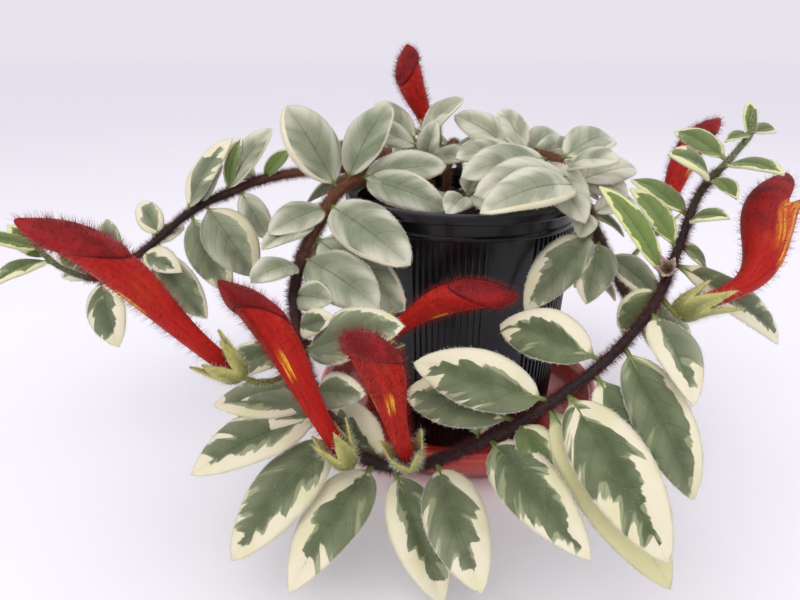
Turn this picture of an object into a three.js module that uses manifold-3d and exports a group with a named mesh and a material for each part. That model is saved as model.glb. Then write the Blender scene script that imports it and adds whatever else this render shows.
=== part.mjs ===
// Potted variegated columnea: a trailing house plant with hairy stems, opposite leaves
// and hooded scarlet flowers, in a black nursery pot that stands in a red saucer.
// Millimetres, +Z up. The origin is the middle of the saucer's flat underside.
// -Y is the side that the front stem loops across.
import * as THREE from 'three';
import Module from 'manifold-3d';
import { mergeVertices } from 'three/addons/utils/BufferGeometryUtils.js';

const wasm = await Module();
wasm.setup();

// Saucer
const saucerRadius = 65;
const saucerHeight = 16;
const saucerFloor = 3.7;
const saucerWall = 4.6;

// Pot
const potFootZ = 4;
const potRimZ = 106;
const potRimRadius = 50;
const potTopRadius = 47.6;
const potBottomRadius = 42;
const potWall = 1.6;
const lipHeight = 4.4;
const collarHeight = 6;
const ribDepth = 0.7;
const ribGroups = 6;
const ribsInGroup = 6;
const ribbedShare = 0.62;
const potFloor = 2.4;
const footRecess = 0.8;
const drainHoles = 6;
const drainRadius = 4;
const drainCircle = 26;

// Potting mix
const mixTopZ = 98;
const mixUnevenness = 0.8;
const rootDepth = 12;

// Fits: the gap left between pieces that touch, and the slack round each root.
const gap = 0.35;
const rootSlack = 0.9;

// Leaves and stems
const bladeThickness = 0.8;
const petioleLength = 4;
const petioleWidth = 1.3;
const usualWidthShare = 0.46;
const edgeLift = 0.16;
const usualBow = 0.08;
const mostRoll = 10;
const stemSides = 6;
const stemStep = 12.5;
const pairSpacing = 21;

// Flowers
const tubeSides = 8;
const petalThickness = 1;
const usualArch = 0.64;
const pedicelRadius = 0.9;
const calyxThickness = 0.9;
const calyxCup = 3.2;
const lobeLength = 12.5;
const lobeLean = 3.6;
const lobes = 5;

// The way the leaves turn their faces, towards a window in front.
const windowWay = [-0.1, -0.75, 0.75];

const degree = Math.PI / 180;
const up = new THREE.Vector3(0, 0, 1);
const vec = (x, y, z) => new THREE.Vector3(x, y, z);
const light = vec(...windowWay).normalize();

// A repeatable draw between -1 and 1 from a whole number.
function draw(seed) {
  const wave = Math.sin(seed * 12.9898) * 43758.5453;
  return 2 * (wave - Math.floor(wave)) - 1;
}

// Heading turns from +X towards +Y, rise lifts out of the horizontal.
function direction(heading, rise) {
  const level = Math.cos(rise * degree);
  return vec(
    level * Math.cos(heading * degree),
    level * Math.sin(heading * degree),
    Math.sin(rise * degree),
  );
}

// A frame along a direction: face looks as far as it can towards a given way, side lies
// square to both, and roll turns the two about the direction.
function frameAlong(along, toward = up, roll = 0) {
  const side = along.clone().cross(toward).normalize();
  const face = side.clone().cross(along).normalize();
  side.applyAxisAngle(along, roll * degree);
  face.applyAxisAngle(along, roll * degree);
  return { side, face };
}

// A closed body through rings of equal, even count. Both faces of a thin ring are
// split alike, and each end is capped by pairing the first half with the second.
function loft(rings) {
  const count = rings[0].length;
  const half = count / 2;
  const points = rings.flat();
  const index = [];
  for (let i = 0; i < rings.length - 1; i += 1) {
    for (let k = 0; k < count; k += 1) {
      const a = i * count + k;
      const b = i * count + (k + 1) % count;
      const c = b + count;
      const d = a + count;
      if (k < half) index.push(a, b, c, a, c, d);
      else index.push(a, b, d, b, c, d);
    }
  }
  const last = (rings.length - 1) * count;
  for (let k = 0; k < half - 1; k += 1) {
    const far = count - 1 - k;
    index.push(k, far, k + 1, k + 1, far, far - 1);
    index.push(last + k, last + k + 1, last + far, last + k + 1, last + far - 1, last + far);
  }
  const geometry = new THREE.BufferGeometry();
  geometry.setAttribute('position', new THREE.Float32BufferAttribute(
    points.flatMap((p) => [p.x, p.y, p.z]), 3));
  geometry.setIndex(index);
  return geometry;
}

// Six times the signed volume: negative when the faces look inward.
function signedVolume(geometry) {
  const position = geometry.getAttribute('position');
  const index = geometry.getIndex().array;
  const corner = (i) => vec().fromBufferAttribute(position, index[i]);
  let sum = 0;
  for (let i = 0; i < index.length; i += 3) {
    sum += corner(i).dot(corner(i + 1).cross(corner(i + 2)));
  }
  return sum;
}

// A closed geometry as a solid for joining and cutting, its faces turned outward.
function toSolid(source) {
  let geometry = source.clone();
  geometry.deleteAttribute('normal');
  geometry.deleteAttribute('uv');
  geometry = mergeVertices(geometry, 1e-4);
  const index = Uint32Array.from(geometry.getIndex().array);
  if (signedVolume(geometry) < 0) {
    for (let i = 0; i < index.length; i += 3) {
      [index[i + 1], index[i + 2]] = [index[i + 2], index[i + 1]];
    }
  }
  return new wasm.Manifold(new wasm.Mesh({
    numProp: 3,
    vertProperties: Float32Array.from(geometry.getAttribute('position').array),
    triVerts: index,
  }));
}

const join = (solids) => solids.reduce((whole, next) => whole.add(next));

// The largest body of a solid: sealed hollows are filled and loose scraps dropped.
function mainBody(solid) {
  const bodies = solid.decompose();
  return bodies.reduce((best, next) => (next.volume() > best.volume() ? next : best));
}

function toGeometry(solid) {
  const mesh = solid.getMesh();
  const geometry = new THREE.BufferGeometry();
  geometry.setAttribute('position', new THREE.BufferAttribute(mesh.vertProperties, 3));
  geometry.setIndex(new THREE.BufferAttribute(mesh.triVerts, 1));
  geometry.computeVertexNormals();
  return geometry;
}

function addPiece(group, name, solid, look) {
  const material = new THREE.MeshStandardMaterial({ ...look, metalness: 0 });
  const mesh = new THREE.Mesh(toGeometry(solid), material);
  mesh.name = name;
  group.add(mesh);
}

// A ring of points round a centre, across two directions.
function ringRound(centre, side, face, radius, sides) {
  const ring = [];
  for (let k = 0; k < sides; k += 1) {
    const angle = 2 * Math.PI * (k + 0.5) / sides;
    ring.push(centre.clone()
      .addScaledVector(side, radius * Math.cos(angle))
      .addScaledVector(face, radius * Math.sin(angle)));
  }
  return ring;
}

// A tapering stalk along a smooth curve through the given points. The frame is
// carried along the curve so that the sides don't twist.
function stalk(curve, startRadius, endRadius, step, sides = stemSides) {
  const count = Math.max(2, Math.ceil(curve.getLength() / step));
  const rings = [];
  let side = frameAlong(curve.getTangentAt(0)).side;
  for (let i = 0; i <= count; i += 1) {
    const share = i / count;
    const along = curve.getTangentAt(share);
    side = side.clone().addScaledVector(along, -side.dot(along)).normalize();
    const face = side.clone().cross(along);
    const radius = startRadius + (endRadius - startRadius) * share;
    rings.push(ringRound(curve.getPointAt(share), side, face, radius, sides));
  }
  return toSolid(loft(rings));
}

// Blade outline: share of the blade's length, and half width as a share of the widest.
// Leaves under the first length have fewer rings, those under the second no midrib.
const bladeOutline = [[0, 0.12], [0.27, 0.86], [0.62, 0.96], [1, 0.07]];
const middleOutline = [[0.34, 0.94], [0.66, 0.92], [1, 0.07]];
const middleLeaf = 31;
const smallLeaf = 25.5;

// One leaf: a short petiole and an ovate blade with a sunken midrib. It bows outward, so
// that its tip curls over.
function leaf(base, { heading, rise, length, share, roll, bow, toward }) {
  const along = direction(heading, rise);
  const { side, face } = frameAlong(along, toward, roll);
  const plain = length < smallLeaf;
  const outline = length < middleLeaf ? middleOutline : bladeOutline;
  const stalkLength = length < middleLeaf ? 0 : petioleLength;
  const halfWidth = length * share / 2;
  const crossSection = (distance, half, valley) => {
    const travel = distance / length;
    const middle = base.clone()
      .addScaledVector(along, distance)
      .addScaledVector(face, 4 * bow * length * travel * (1 - travel));
    const at = (across, height) => middle.clone()
      .addScaledVector(side, across)
      .addScaledVector(face, height);
    if (plain) return [at(-half, 0), at(half, 0), at(half, -bladeThickness), at(-half, -bladeThickness)];
    const under = valley - bladeThickness;
    return [
      at(-half, valley), at(0, 0), at(half, valley),
      at(half, under), at(0, -bladeThickness), at(-half, under),
    ];
  };
  const rings = [crossSection(0, petioleWidth / 2, 0)];
  for (const [place, width] of outline) {
    const half = Math.max(halfWidth * width, petioleWidth / 2);
    rings.push(crossSection(stalkLength + (length - stalkLength) * place, half, half * edgeLift));
  }
  return toSolid(loft(rings));
}

// Closed corolla from its foot to the tip: share of the flower's length, half width, height
// above the middle, depth below it, and how far the ring leans back at its crest. The step
// at 0.76 is the edge of the hood.
const closedProfile = [
  [0, 2.3, 2.3, 2.3, 0], [0.06, 2.9, 2.9, 2.9, 0], [0.4, 3.9, 4.2, 4.4, 0.02],
  [0.6, 6.2, 4.9, 5.5, 0.07], [0.75, 6.8, 4.6, 4.9, 0.12], [0.77, 7.5, 5.2, 5.4, 0.12],
  [0.84, 6.8, 4.9, 4.2, 0.1], [0.91, 5, 4, 2.8, 0.06], [0.96, 2.9, 2.5, 1.8, 0.02],
  [1, 0.8, 0.8, 0.8, 0],
];
// One side of its section from the crest down, as shares of half width and of height.
const halfSection = [[0.31, 0.95], [0.81, 0.59], [1, 0], [0.81, -0.59], [0.31, -0.95]];

// Open corolla's tube: share of the length, half width, height above and depth below.
const tubeProfile = [
  [0, 2.3, 2.3, 2.3], [0.06, 2.9, 2.9, 2.9], [0.26, 3.2, 3.3, 2.9], [0.4, 5, 4.8, 5.1],
  [0.54, 6.6, 7.4, 7.2], [0.62, 7, 8.4, 7.9],
];
// Its mouth: how far each corner of the tube runs on, from the crest down one side. The
// first two make the hood, the third the slit and the fourth the lower lip. Each holds a
// share of the length, the distance across and the height.
const mouth = [
  [[0.8, 2.6, 6.6], [0.8, 6.2, 1.6], [0.68, 6.9, -1.4], [0.77, 3, -8.2]],
  [[1, 0.9, 0.9], [0.93, 3.4, -4.4], [0.7, 6.6, -1.6], [0.89, 1.3, -7.8]],
];

// A frame for a flower, turned about its length by roll. Its middle arches to the hood's
// side beyond the throat and may sag the other way below it.
function flowerFrame({ base, tip, roll = 0, arch = usualArch, rise = 2.5, sag = 0 }) {
  const start = vec(...base);
  const along = vec(...tip).sub(start);
  const length = along.length();
  along.normalize();
  const { side, face } = frameAlong(along, up, roll);
  const lift = (place) => {
    const share = THREE.MathUtils.clamp(place, 0, 1);
    return length * (arch * share ** rise * (1 - share) - sag * share ** 2 * (1 - share) ** 3.5);
  };
  const at = (share, across, height) => start.clone()
    .addScaledVector(along, share * length)
    .addScaledVector(side, across)
    .addScaledVector(face, height + lift(share));
  return { at, length };
}

// A corolla about to open: the hood is shut over the mouth of the tube.
function closedCorolla(flower) {
  const { at } = flowerFrame(flower);
  const rings = closedProfile.map(([share, halfWidth, above, below, lean]) => {
    const corner = ([across, height], hand) => at(
      share - lean * height, hand * across * halfWidth, height * (height > 0 ? above : below));
    const right = halfSection.map((shares) => corner(shares, 1));
    const left = halfSection.map((shares) => corner(shares, -1));
    return [...right, ...left.reverse()];
  });
  return toSolid(loft(rings));
}

// An open corolla: one sheet that runs up the outside of the tube, round the edge of hood,
// slits and lower lip, and back down inside the throat.
function openCorolla(flower) {
  const { at } = flowerFrame(flower);
  const tubeRing = ([share, halfWidth, above, below], inset) => {
    return Array.from({ length: tubeSides }, (_, k) => {
      const angle = 2 * Math.PI * (k + 0.5) / tubeSides;
      const rise = (angle < Math.PI ? above : below) - inset;
      return at(share, (halfWidth - inset) * Math.cos(angle), rise * Math.sin(angle));
    });
  };
  const mouthRing = (corners, inset) => {
    const place = ([share, across, height], hand) => {
      const shrink = 1 - inset / Math.hypot(across, height);
      return at(share, hand * across * shrink, height * shrink);
    };
    const right = corners.map((corner) => place(corner, 1));
    const left = corners.map((corner) => place(corner, -1));
    return [right[1], right[0], left[0], left[1], left[2], left[3], right[3], right[2]];
  };
  return toSolid(loft([
    ...tubeProfile.map((ring) => tubeRing(ring, 0)),
    ...mouth.map((corners) => mouthRing(corners, 0)),
    ...mouth.map((corners) => mouthRing(corners, petalThickness)).reverse(),
    tubeRing(tubeProfile.at(-1), petalThickness),
    tubeRing(tubeProfile.at(-3), 2 * petalThickness),
  ]));
}

// Calyx: a small cup with five pointed lobes round the corolla's foot, on its pedicel.
function calyx(foot, flower) {
  const { at, length } = flowerFrame(flower);
  const inner = closedProfile[1][1] + gap;
  const ring = (distance, radius) => Array.from({ length: 2 * lobes }, (_, k) => {
    const angle = Math.PI * (k + 0.5) / lobes;
    return at(distance / length, radius * Math.cos(angle), radius * Math.sin(angle));
  });
  const toothed = (thickness) => Array.from({ length: 2 * lobes }, (_, k) => {
    const angle = Math.PI * (k + 0.5) / lobes;
    const tooth = k % 2;
    const radius = inner + thickness + tooth * lobeLean;
    const distance = tooth ? lobeLength : calyxCup;
    return at(distance / length, radius * Math.cos(angle), radius * Math.sin(angle));
  });
  const cup = toSolid(loft([
    ring(-2.2, 2.4), ring(-0.2, inner + 0.7),
    toothed(calyxThickness), toothed(0),
    ring(-gap, inner - 0.3),
  ]));
  const bend = at(-0.4 * foot.distanceTo(at(0, 0, 0)) / length, 0, 0);
  const curve = new THREE.QuadraticBezierCurve3(foot, bend, at(-1.2 / length, 0, 0));
  const pedicel = stalk(curve, pedicelRadius, pedicelRadius * 1.2, 6, 4);
  return mainBody(cup.add(pedicel));
}

// Stems. Each runs from its hole in the mix, over the rim and on. Leaf rows hold the
// distance along the stem, heading, rise, length and, where it isn't usual, the width
// as a share of the length.
const stems = {
  front: {
    radii: [2.2, 1],
    path: [[-30, 0, 86], [-30, 0, 99], [-34, -2, 107], [-43, -7, 111], [-52, -15, 107], [-58, -27, 98],
      [-63, -40, 89], [-65, -53, 79], [-62, -67, 69], [-58, -78, 59], [-50, -88, 46], [-41, -92, 37],
      [-27, -94, 33], [-11, -97, 40], [14, -104, 61], [32, -101, 75], [48, -90, 87], [62, -72, 103],
      [70, -62, 116], [84, -52, 127], [91, -47, 134], [92, -45, 141]],
    leaves: [
      [34, 332, -12, 40, 0.42], [36, 358, 10, 37, 0.42],
      [41, 41, 54, 38, 0.5], [46, 174, 60, 38, 0.54],
      [54, 312, -15, 48, 0.44], [55, 229, -8, 29],
      [64, 224, -8, 26], [70, 332, -30, 46],
      [81, 322, -16, 38, 0.56], [85, 240, 6, 25],
      [98, 329, 7, 17, 0.7],
      [112, 326, 26, 18, 0.6],
      [119, 207, -7, 31], [121, 337, 25, 40, 0.5],
      [135, 328, 14, 21, 0.6], [139, 192, 6, 33, 0.44],
      [143, 209, -10, 44, 0.42], [147, 186, 18, 32, 0.46],
      [151, 228, -27, 48, 0.4], [167, 237, -21, 46, 0.42],
      [172, 141, 23, 34, 0.54], [173, 296, -37, 43, 0.42],
      [188, 285, -20, 42, 0.46], [204, 90, 64, 28],
      [208, 295, -8, 46, 0.38], [219, 153, 2, 38],
      [219, 297, -20, 20, 0.56], [231, 168, 12, 42, 0.44],
      [229, 308, -36, 56, 0.36], [236, 291, -26, 50, 0.4],
      [250, 139, 4, 36, 0.5], [246, 294, -44, 34, 0.44],
      [258, 291, -41, 45, 0.38],
      [272, 277, -26, 32, 0.44], [268, 2, -44, 25],
      [282, 120, -57, 25], [292, 12, -33, 60, 0.2],
      [284, 137, 48, 36, 0.22], [297, 124, 41, 26, 0.32],
      [299, 28, -33, 20, 0.4], [308, 288, 20, 16, 0.42],
      [310, 120, 20, 26, 0.36],
      [326, 205, 27, 22, 0.5], [327, 284, -17, 13],
      [334, 283, 5, 24, 0.32], [336, 119, 20, 24, 0.36],
      [348, 70, 45, 16, 0.28],
      [349, 209, -3, 12, 0.36], [350, 23, 5, 12],
    ],
  },
  left: {
    radii: [2.1, 1],
    path: [[-34, 13, 86], [-34, 13, 99], [-38, 11, 107], [-47, 9, 112], [-58, 7, 112], [-76, 8, 110],
      [-90, 6, 107], [-103, 2, 102], [-111, 0, 99], [-119, -4, 94], [-134, -14, 82], [-149, -25, 74],
      [-158, -35, 82], [-161, -41, 91]],
    leaves: [
      [73, 18, 46, 17], [75, 140, 10, 24],
      [84, 344, -60, 25, 0.5], [89, 34, 72, 24, 0.3],
      [91, 19, 52, 35, 0.36], [100, 337, -52, 38, 0.6],
      [102, 30, 57, 20], [107, 335, -64, 38, 0.46],
      [109, 24, 56, 38, 0.34], [123, 139, 47, 19, 0.6],
      [128, 57, 18, 18, 0.6], [129, 345, -53, 38, 0.42],
      [133, 339, -17, 20, 0.6], [144, 125, 49, 24],
      [152, 301, -50, 30, 0.54], [153, 150, 0, 24],
      [163, 120, 30, 16],
      [173, 247, -3, 24, 0.44], [174, 190, 50, 18],
      [179, 231, 27, 21, 0.36], [179, 90, 50, 12],
    ],
  },
  right: {
    radii: [2.1, 1.1],
    path: [[8, 14, 86], [8, 14, 99], [12, 10, 109], [20, 4, 118], [30, -7, 120], [36, -20, 118],
      [40, -31, 111], [45, -37, 99], [51, -38, 88], [59, -34, 75], [69, -27, 61], [79, -18, 47],
      [87, -9, 35]],
    leaves: [
      [30, 262, 22, 26], [32, 100, 30, 28],
      [41, 209, 4, 30], [42, 162, 30, 32],
      [44, 45, 19, 26], [46, 125, 47, 24],
      [48, 33, 4, 28], [49, 146, 14, 30], [51, 284, -21, 45, 0.38],
      [60, 196, -6, 38], [61, 330, -20, 32],
      [64, 38, 13, 36], [70, 292, 16, 28, 0.4],
      [76, 204, -2, 42, 0.44], [78, 20, 10, 28], [80, 216, -2, 48, 0.38],
      [90, 243, -40, 12, 0.8], [92, 30, 10, 24],
      [98, 205, -42, 40, 0.44], [102, 246, -42, 27, 0.6],
      [108, 318, -30, 26], [128, 30, -20, 28],
      [138, 330, -20, 26],
      [140, 60, 0, 26], [156, 290, -10, 24],
      [166, 40, -30, 24],
    ],
  },
  crown: {
    radii: [1.8, 1.1],
    path: [[-14, 4, 86], [-14, 4, 99], [-15, 6, 110], [-17, 10, 118], [-20, 16, 124]],
    leaves: [
      [25, 128, 24, 26], [26, 280, 60, 25], [32, 325, 6, 25], [37, 190, 20, 30],
      [39, 330, 46, 28], [40, 160, 40, 26],
    ],
  },
  crown_low: {
    radii: [1.6, 1],
    path: [[-2, -12, 86], [-2, -12, 99], [-1, -15, 104], [1, -20, 107]],
    leaves: [
      [16, 196, 4, 25], [17, 352, 2, 28], [20, 250, 0, 25], [21, 75, 6, 25], [23, 300, 2, 25],
    ],
  },
};

// Stems behind the pot: their pairs follow a rule. A pair stands every few millimetres,
// every other pair spreads wider, and draws vary the rest.
const hiddenStems = {
  back: {
    radii: [2, 1.1],
    path: [[-6, 20, 86], [-6, 20, 99], [-5, 24, 111], [-3, 33, 118], [0, 45, 118], [3, 56, 108],
      [5, 64, 92], [6, 70, 74], [6, 74, 56], [5, 76, 40]],
    first: 34,
  },
  back_left: {
    radii: [2, 1.1],
    path: [[-20, 24, 86], [-20, 24, 99], [-25, 31, 111], [-34, 41, 115], [-43, 50, 108],
      [-51, 58, 94], [-57, 66, 76], [-63, 73, 58], [-68, 79, 42]],
    first: 45,
  },
  back_right: {
    radii: [2, 1.1],
    path: [[18, 24, 86], [18, 24, 99], [24, 31, 111], [34, 39, 115], [46, 45, 109],
      [56, 50, 94], [64, 54, 76], [71, 58, 58], [77, 62, 42]],
    first: 42,
  },
};

// Rows for a stem behind the pot: two leaves to a pair, smaller and hanging lower on.
function pairsByRule(curve, first, seed) {
  const rows = [];
  const length = curve.getLength();
  let number = 0;
  for (let distance = first; distance < length - 2; distance += pairSpacing) {
    const share = distance / length;
    const along = curve.getTangentAt(share);
    const stemHeading = Math.atan2(along.y, along.x) / degree;
    const usualSpread = number % 2 ? 82 : 48;
    for (const hand of [1, -1]) {
      const key = seed + number * 7 + hand;
      const spread = usualSpread + 10 * draw(key);
      const rise = 16 - 50 * share + 12 * draw(key + 3);
      const size = 34 - 8 * share + 4 * draw(key + 5);
      rows.push([distance + hand, stemHeading + hand * spread, rise, size]);
    }
    number += 1;
  }
  return rows;
}

function curveThrough(path) {
  return new THREE.CatmullRomCurve3(path.map((point) => vec(...point)), false, 'centripetal');
}

// A stem with all its leaves as one body. Facing gives the way a leaf at a point turns.
function leafyStem(curve, radii, rows, seed, facing) {
  const length = curve.getLength();
  const solids = [stalk(curve, radii[0], radii[1], stemStep)];
  rows.forEach(([distance, heading, rise, size, share], number) => {
    const key = seed * 100 + number;
    const base = curve.getPointAt(Math.min(distance / length, 1));
    solids.push(leaf(base, {
      heading,
      rise,
      length: size,
      share: share ?? usualWidthShare + 0.04 * draw(key),
      roll: mostRoll * draw(key + 31),
      bow: usualBow + 0.03 * draw(key + 57),
      toward: facing(base),
    }));
  });
  return mainBody(join(solids));
}

// Flowers: the stem, the distance along it, the points at the foot of the corolla and the
// tip of its hood, and where it isn't usual, how it rolls, arches and sags.
const flowers = {
  far_left: { stem: 'front', at: 125, base: [-74, -102, 72], tip: [-118, -117, 121] },
  front_left: { stem: 'front', at: 158, base: [-43, -103, 42], tip: [-79, -93, 97], roll: 65 },
  front_facing: { stem: 'front', at: 182, base: [-24, -103, 42], tip: [-39, -129, 97] },
  front_middle: { stem: 'front', at: 117, base: [-37, -60, 61], tip: [11, -74, 85], arch: 0.68, rise: 1.5 },
  back_upright: { stem: 'back', at: 30, base: [-12, 20, 121], tip: [-24, 25, 162], roll: -125 },
  right_open: {
    stem: 'front', at: 278, base: [58, -90, 86], tip: [100, -58, 122],
    roll: -61, arch: 0, sag: 5.6, open: true,
  },
  back_right: { stem: 'right', at: 118, base: [77, -14, 91], tip: [107, 8, 133], roll: -60 },
};

// A solid turned about the pot's axis from radius and height pairs.
function turned(profile, segments) {
  const points = profile.map(([radius, z]) => new THREE.Vector2(radius, z));
  return toSolid(new THREE.LatheGeometry(points, segments).rotateX(Math.PI / 2));
}

// Saucer: a shallow dish with a thick rolled rim, and a groove round its flat underside.
function saucer() {
  const outer = saucerRadius;
  const inner = saucerRadius - saucerWall;
  const rimTop = saucerHeight;
  const profile = [
    [0, 0], [50, 0], [50.8, 0.8], [52.2, 0.8], [53, 0], [56, 0], [58, 1],
    [outer - 1, rimTop - 6], [outer, rimTop - 3], [outer - 1, rimTop - 0.6], [outer - 2.6, rimTop],
    [inner + 0.2, rimTop - 1.2], [inner - 3.4, saucerFloor + 1.6], [inner - 5, saucerFloor],
    [0, saucerFloor],
  ];
  return turned(profile, 30);
}

// Pot radius at a height, between the foot and the collar.
function potRadius(z) {
  const top = potRimZ - lipHeight - collarHeight;
  const share = (z - potFootZ) / (top - potFootZ);
  return potBottomRadius + (potTopRadius - 1 - potBottomRadius) * share;
}

// One round of the ribbed wall: groups of narrow ribs with plain panels between them.
function ribbedRing(z, depth) {
  const ring = [];
  const groupAngle = 2 * Math.PI / ribGroups;
  const ribAngle = groupAngle * ribbedShare / ribsInGroup;
  const base = potRadius(z);
  const push = (angle, radius) => {
    ring.push(vec(radius * Math.cos(angle), radius * Math.sin(angle), z));
  };
  for (let group = 0; group < ribGroups; group += 1) {
    const start = groupAngle * group;
    for (let rib = 0; rib < ribsInGroup; rib += 1) {
      const angle = start + ribAngle * rib;
      push(angle, base);
      push(angle + ribAngle * 0.15, base + depth);
      push(angle + ribAngle * 0.5, base + depth);
      push(angle + ribAngle * 0.65, base);
    }
    for (const share of [0.64, 0.73, 0.82, 0.91]) push(start + groupAngle * share, base);
  }
  return ring;
}

// A solid of stacked rings about the pot's axis, closed by a fan at each end.
function stackedSolid(rings) {
  const count = rings[0].length;
  const points = [...rings.flat(), vec(0, 0, rings[0][0].z), vec(0, 0, rings.at(-1)[0].z)];
  const index = [];
  for (let i = 0; i < rings.length - 1; i += 1) {
    for (let k = 0; k < count; k += 1) {
      const a = i * count + k;
      const b = i * count + (k + 1) % count;
      index.push(a, b, b + count, a, b + count, a + count);
    }
  }
  const bottom = rings.length * count;
  const last = (rings.length - 1) * count;
  for (let k = 0; k < count; k += 1) {
    const next = (k + 1) % count;
    index.push(bottom, next, k, bottom + 1, last + k, last + next);
  }
  const geometry = new THREE.BufferGeometry();
  geometry.setAttribute('position', new THREE.Float32BufferAttribute(
    points.flatMap((p) => [p.x, p.y, p.z]), 3));
  geometry.setIndex(index);
  return toSolid(geometry);
}

// Pot: ribbed wall, recessed collar, rolled lip, hollow inside, drain holes in its floor.
function pot() {
  const collarZ = potRimZ - lipHeight - collarHeight;
  const lipZ = potRimZ - lipHeight;
  const floorZ = potFootZ + potFloor;
  const recessZ = potFootZ + footRecess;
  const innerTopRadius = potTopRadius - 1 - potWall;
  const wall = stackedSolid([ribbedRing(potFootZ, ribDepth), ribbedRing(collarZ, ribDepth)]);
  const head = turned([
    [0, collarZ - 0.5], [potTopRadius, collarZ - 0.5], [potTopRadius, collarZ + 1],
    [potTopRadius - 0.7, collarZ + 1.8], [potTopRadius - 0.7, lipZ], [potRimRadius, lipZ + 0.4],
    [potRimRadius, potRimZ - 1], [potRimRadius - 1, potRimZ], [0, potRimZ],
  ], 36);
  const inside = turned([
    [0, floorZ], [potBottomRadius - potWall, floorZ], [innerTopRadius, collarZ],
    [innerTopRadius, potRimZ - 3], [potRimRadius - 2.6, potRimZ + 1], [0, potRimZ + 1],
  ], 36);
  const underside = turned([
    [0, potFootZ - 1], [potBottomRadius - 4, potFootZ - 1], [potBottomRadius - 5, recessZ],
    [0, recessZ],
  ], 24);
  let body = wall.add(head).subtract(inside).subtract(underside);
  for (let k = 0; k < drainHoles; k += 1) {
    const angle = 2 * Math.PI * k / drainHoles;
    const hole = new THREE.CylinderGeometry(drainRadius, drainRadius, 3 * potFloor, 6);
    hole.rotateX(Math.PI / 2);
    hole.translate(drainCircle * Math.cos(angle), drainCircle * Math.sin(angle), floorZ);
    body = body.subtract(toSolid(hole));
  }
  return mainBody(body);
}

// Potting mix: fills the pot to below its rim, uneven on top, a plain hole for each root.
function pottingMix(roots) {
  const bottom = potFootZ + potFloor + gap;
  const wallGap = potWall + gap + 0.1;
  const segments = 20;
  const ring = (radius, z, uneven, seed) => Array.from({ length: segments }, (_, k) => {
    const angle = 2 * Math.PI * k / segments;
    return vec(radius * Math.cos(angle), radius * Math.sin(angle), z + uneven * draw(seed + k));
  });
  const topRadius = potTopRadius - 1 - wallGap;
  let body = stackedSolid([
    ring(potBottomRadius - wallGap, bottom, 0, 1),
    ring(topRadius - 0.2, mixTopZ - 3, 0, 1),
    ring(topRadius - 1, mixTopZ - 1, 0.5, 40),
    ring(topRadius * 0.7, mixTopZ, mixUnevenness, 80),
    ring(topRadius * 0.35, mixTopZ + 0.5, mixUnevenness, 120),
  ]);
  for (const { x, y, radius } of roots) {
    const width = radius + rootSlack;
    const depth = 1.6 * rootDepth;
    const hole = new THREE.CylinderGeometry(width, width, depth, 8).rotateX(Math.PI / 2);
    hole.translate(x, y, mixTopZ - rootDepth - gap + depth / 2);
    body = body.subtract(toSolid(hole));
  }
  return mainBody(body);
}

const looks = {
  saucer: { color: 0xb5382c, roughness: 0.22 },
  pot: { color: 0x17161b, roughness: 0.42 },
  mix: { color: 0x3a2a20, roughness: 0.95 },
  leaf: { color: 0x8d9f80, roughness: 0.6 },
  corolla: { color: 0xbb2218, roughness: 0.55 },
  calyx: { color: 0xaab05c, roughness: 0.65 },
};

const plant = new THREE.Group();
plant.name = 'potted_variegated_columnea';

// Leaves of the front stems face the window, those behind the pot face up and outward.
const curves = {};
const rootPlaces = [];
Object.entries({ ...stems, ...hiddenStems }).forEach(([name, stem], number) => {
  const { path, radii, first } = stem;
  const curve = curveThrough(path);
  const [rootX, rootY] = path[0];
  curves[name] = { curve, radii };
  rootPlaces.push({ x: rootX, y: rootY, radius: radii[0] });
  const rows = stem.leaves ?? pairsByRule(curve, first, 11 + number);
  const facing = stem.leaves ? () => light : (base) => vec(base.x, base.y, 70).normalize();
  addPiece(plant, `${name}_stem`, leafyStem(curve, radii, rows, number + 1, facing), looks.leaf);
});

addPiece(plant, 'saucer', saucer(), looks.saucer);
addPiece(plant, 'pot', pot(), looks.pot);
addPiece(plant, 'potting_mix', pottingMix(rootPlaces), looks.mix);

// The pedicel's foot stands square to its stem, just clear of it.
for (const [name, flower] of Object.entries(flowers)) {
  const { curve, radii } = curves[flower.stem];
  const share = flower.at / curve.getLength();
  const stemPoint = curve.getPointAt(share);
  const clearOfStem = radii[0] + (radii[1] - radii[0]) * share + gap + 0.2;
  const tangent = curve.getTangentAt(share);
  const outward = vec(...flower.base).sub(stemPoint);
  outward.addScaledVector(tangent, -outward.dot(tangent)).normalize();
  const foot = stemPoint.clone().addScaledVector(outward, clearOfStem);
  const corolla = flower.open ? openCorolla(flower) : closedCorolla(flower);
  addPiece(plant, `corolla_${name}`, corolla, looks.corolla);
  addPiece(plant, `calyx_${name}`, calyx(foot, flower), looks.calyx);
}

export default plant;
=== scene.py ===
import math

import bpy
import numpy as np
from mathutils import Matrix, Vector


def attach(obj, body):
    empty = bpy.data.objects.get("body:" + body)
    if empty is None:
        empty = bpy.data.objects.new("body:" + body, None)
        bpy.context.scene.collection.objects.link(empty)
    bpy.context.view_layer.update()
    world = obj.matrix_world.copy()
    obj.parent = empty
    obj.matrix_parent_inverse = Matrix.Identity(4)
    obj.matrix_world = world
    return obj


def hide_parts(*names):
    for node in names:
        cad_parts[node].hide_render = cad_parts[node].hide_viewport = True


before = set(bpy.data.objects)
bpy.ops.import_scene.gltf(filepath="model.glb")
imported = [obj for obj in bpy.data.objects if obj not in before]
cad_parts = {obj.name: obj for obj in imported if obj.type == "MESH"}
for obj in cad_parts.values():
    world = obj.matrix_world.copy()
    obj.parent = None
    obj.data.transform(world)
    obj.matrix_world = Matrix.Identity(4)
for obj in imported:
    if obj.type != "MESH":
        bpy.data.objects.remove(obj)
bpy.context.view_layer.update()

# Potted variegated columnea. Lengths in the dictionaries are millimetres unless a note says metres.
mm = 0.001
degree = math.pi / 180

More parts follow.
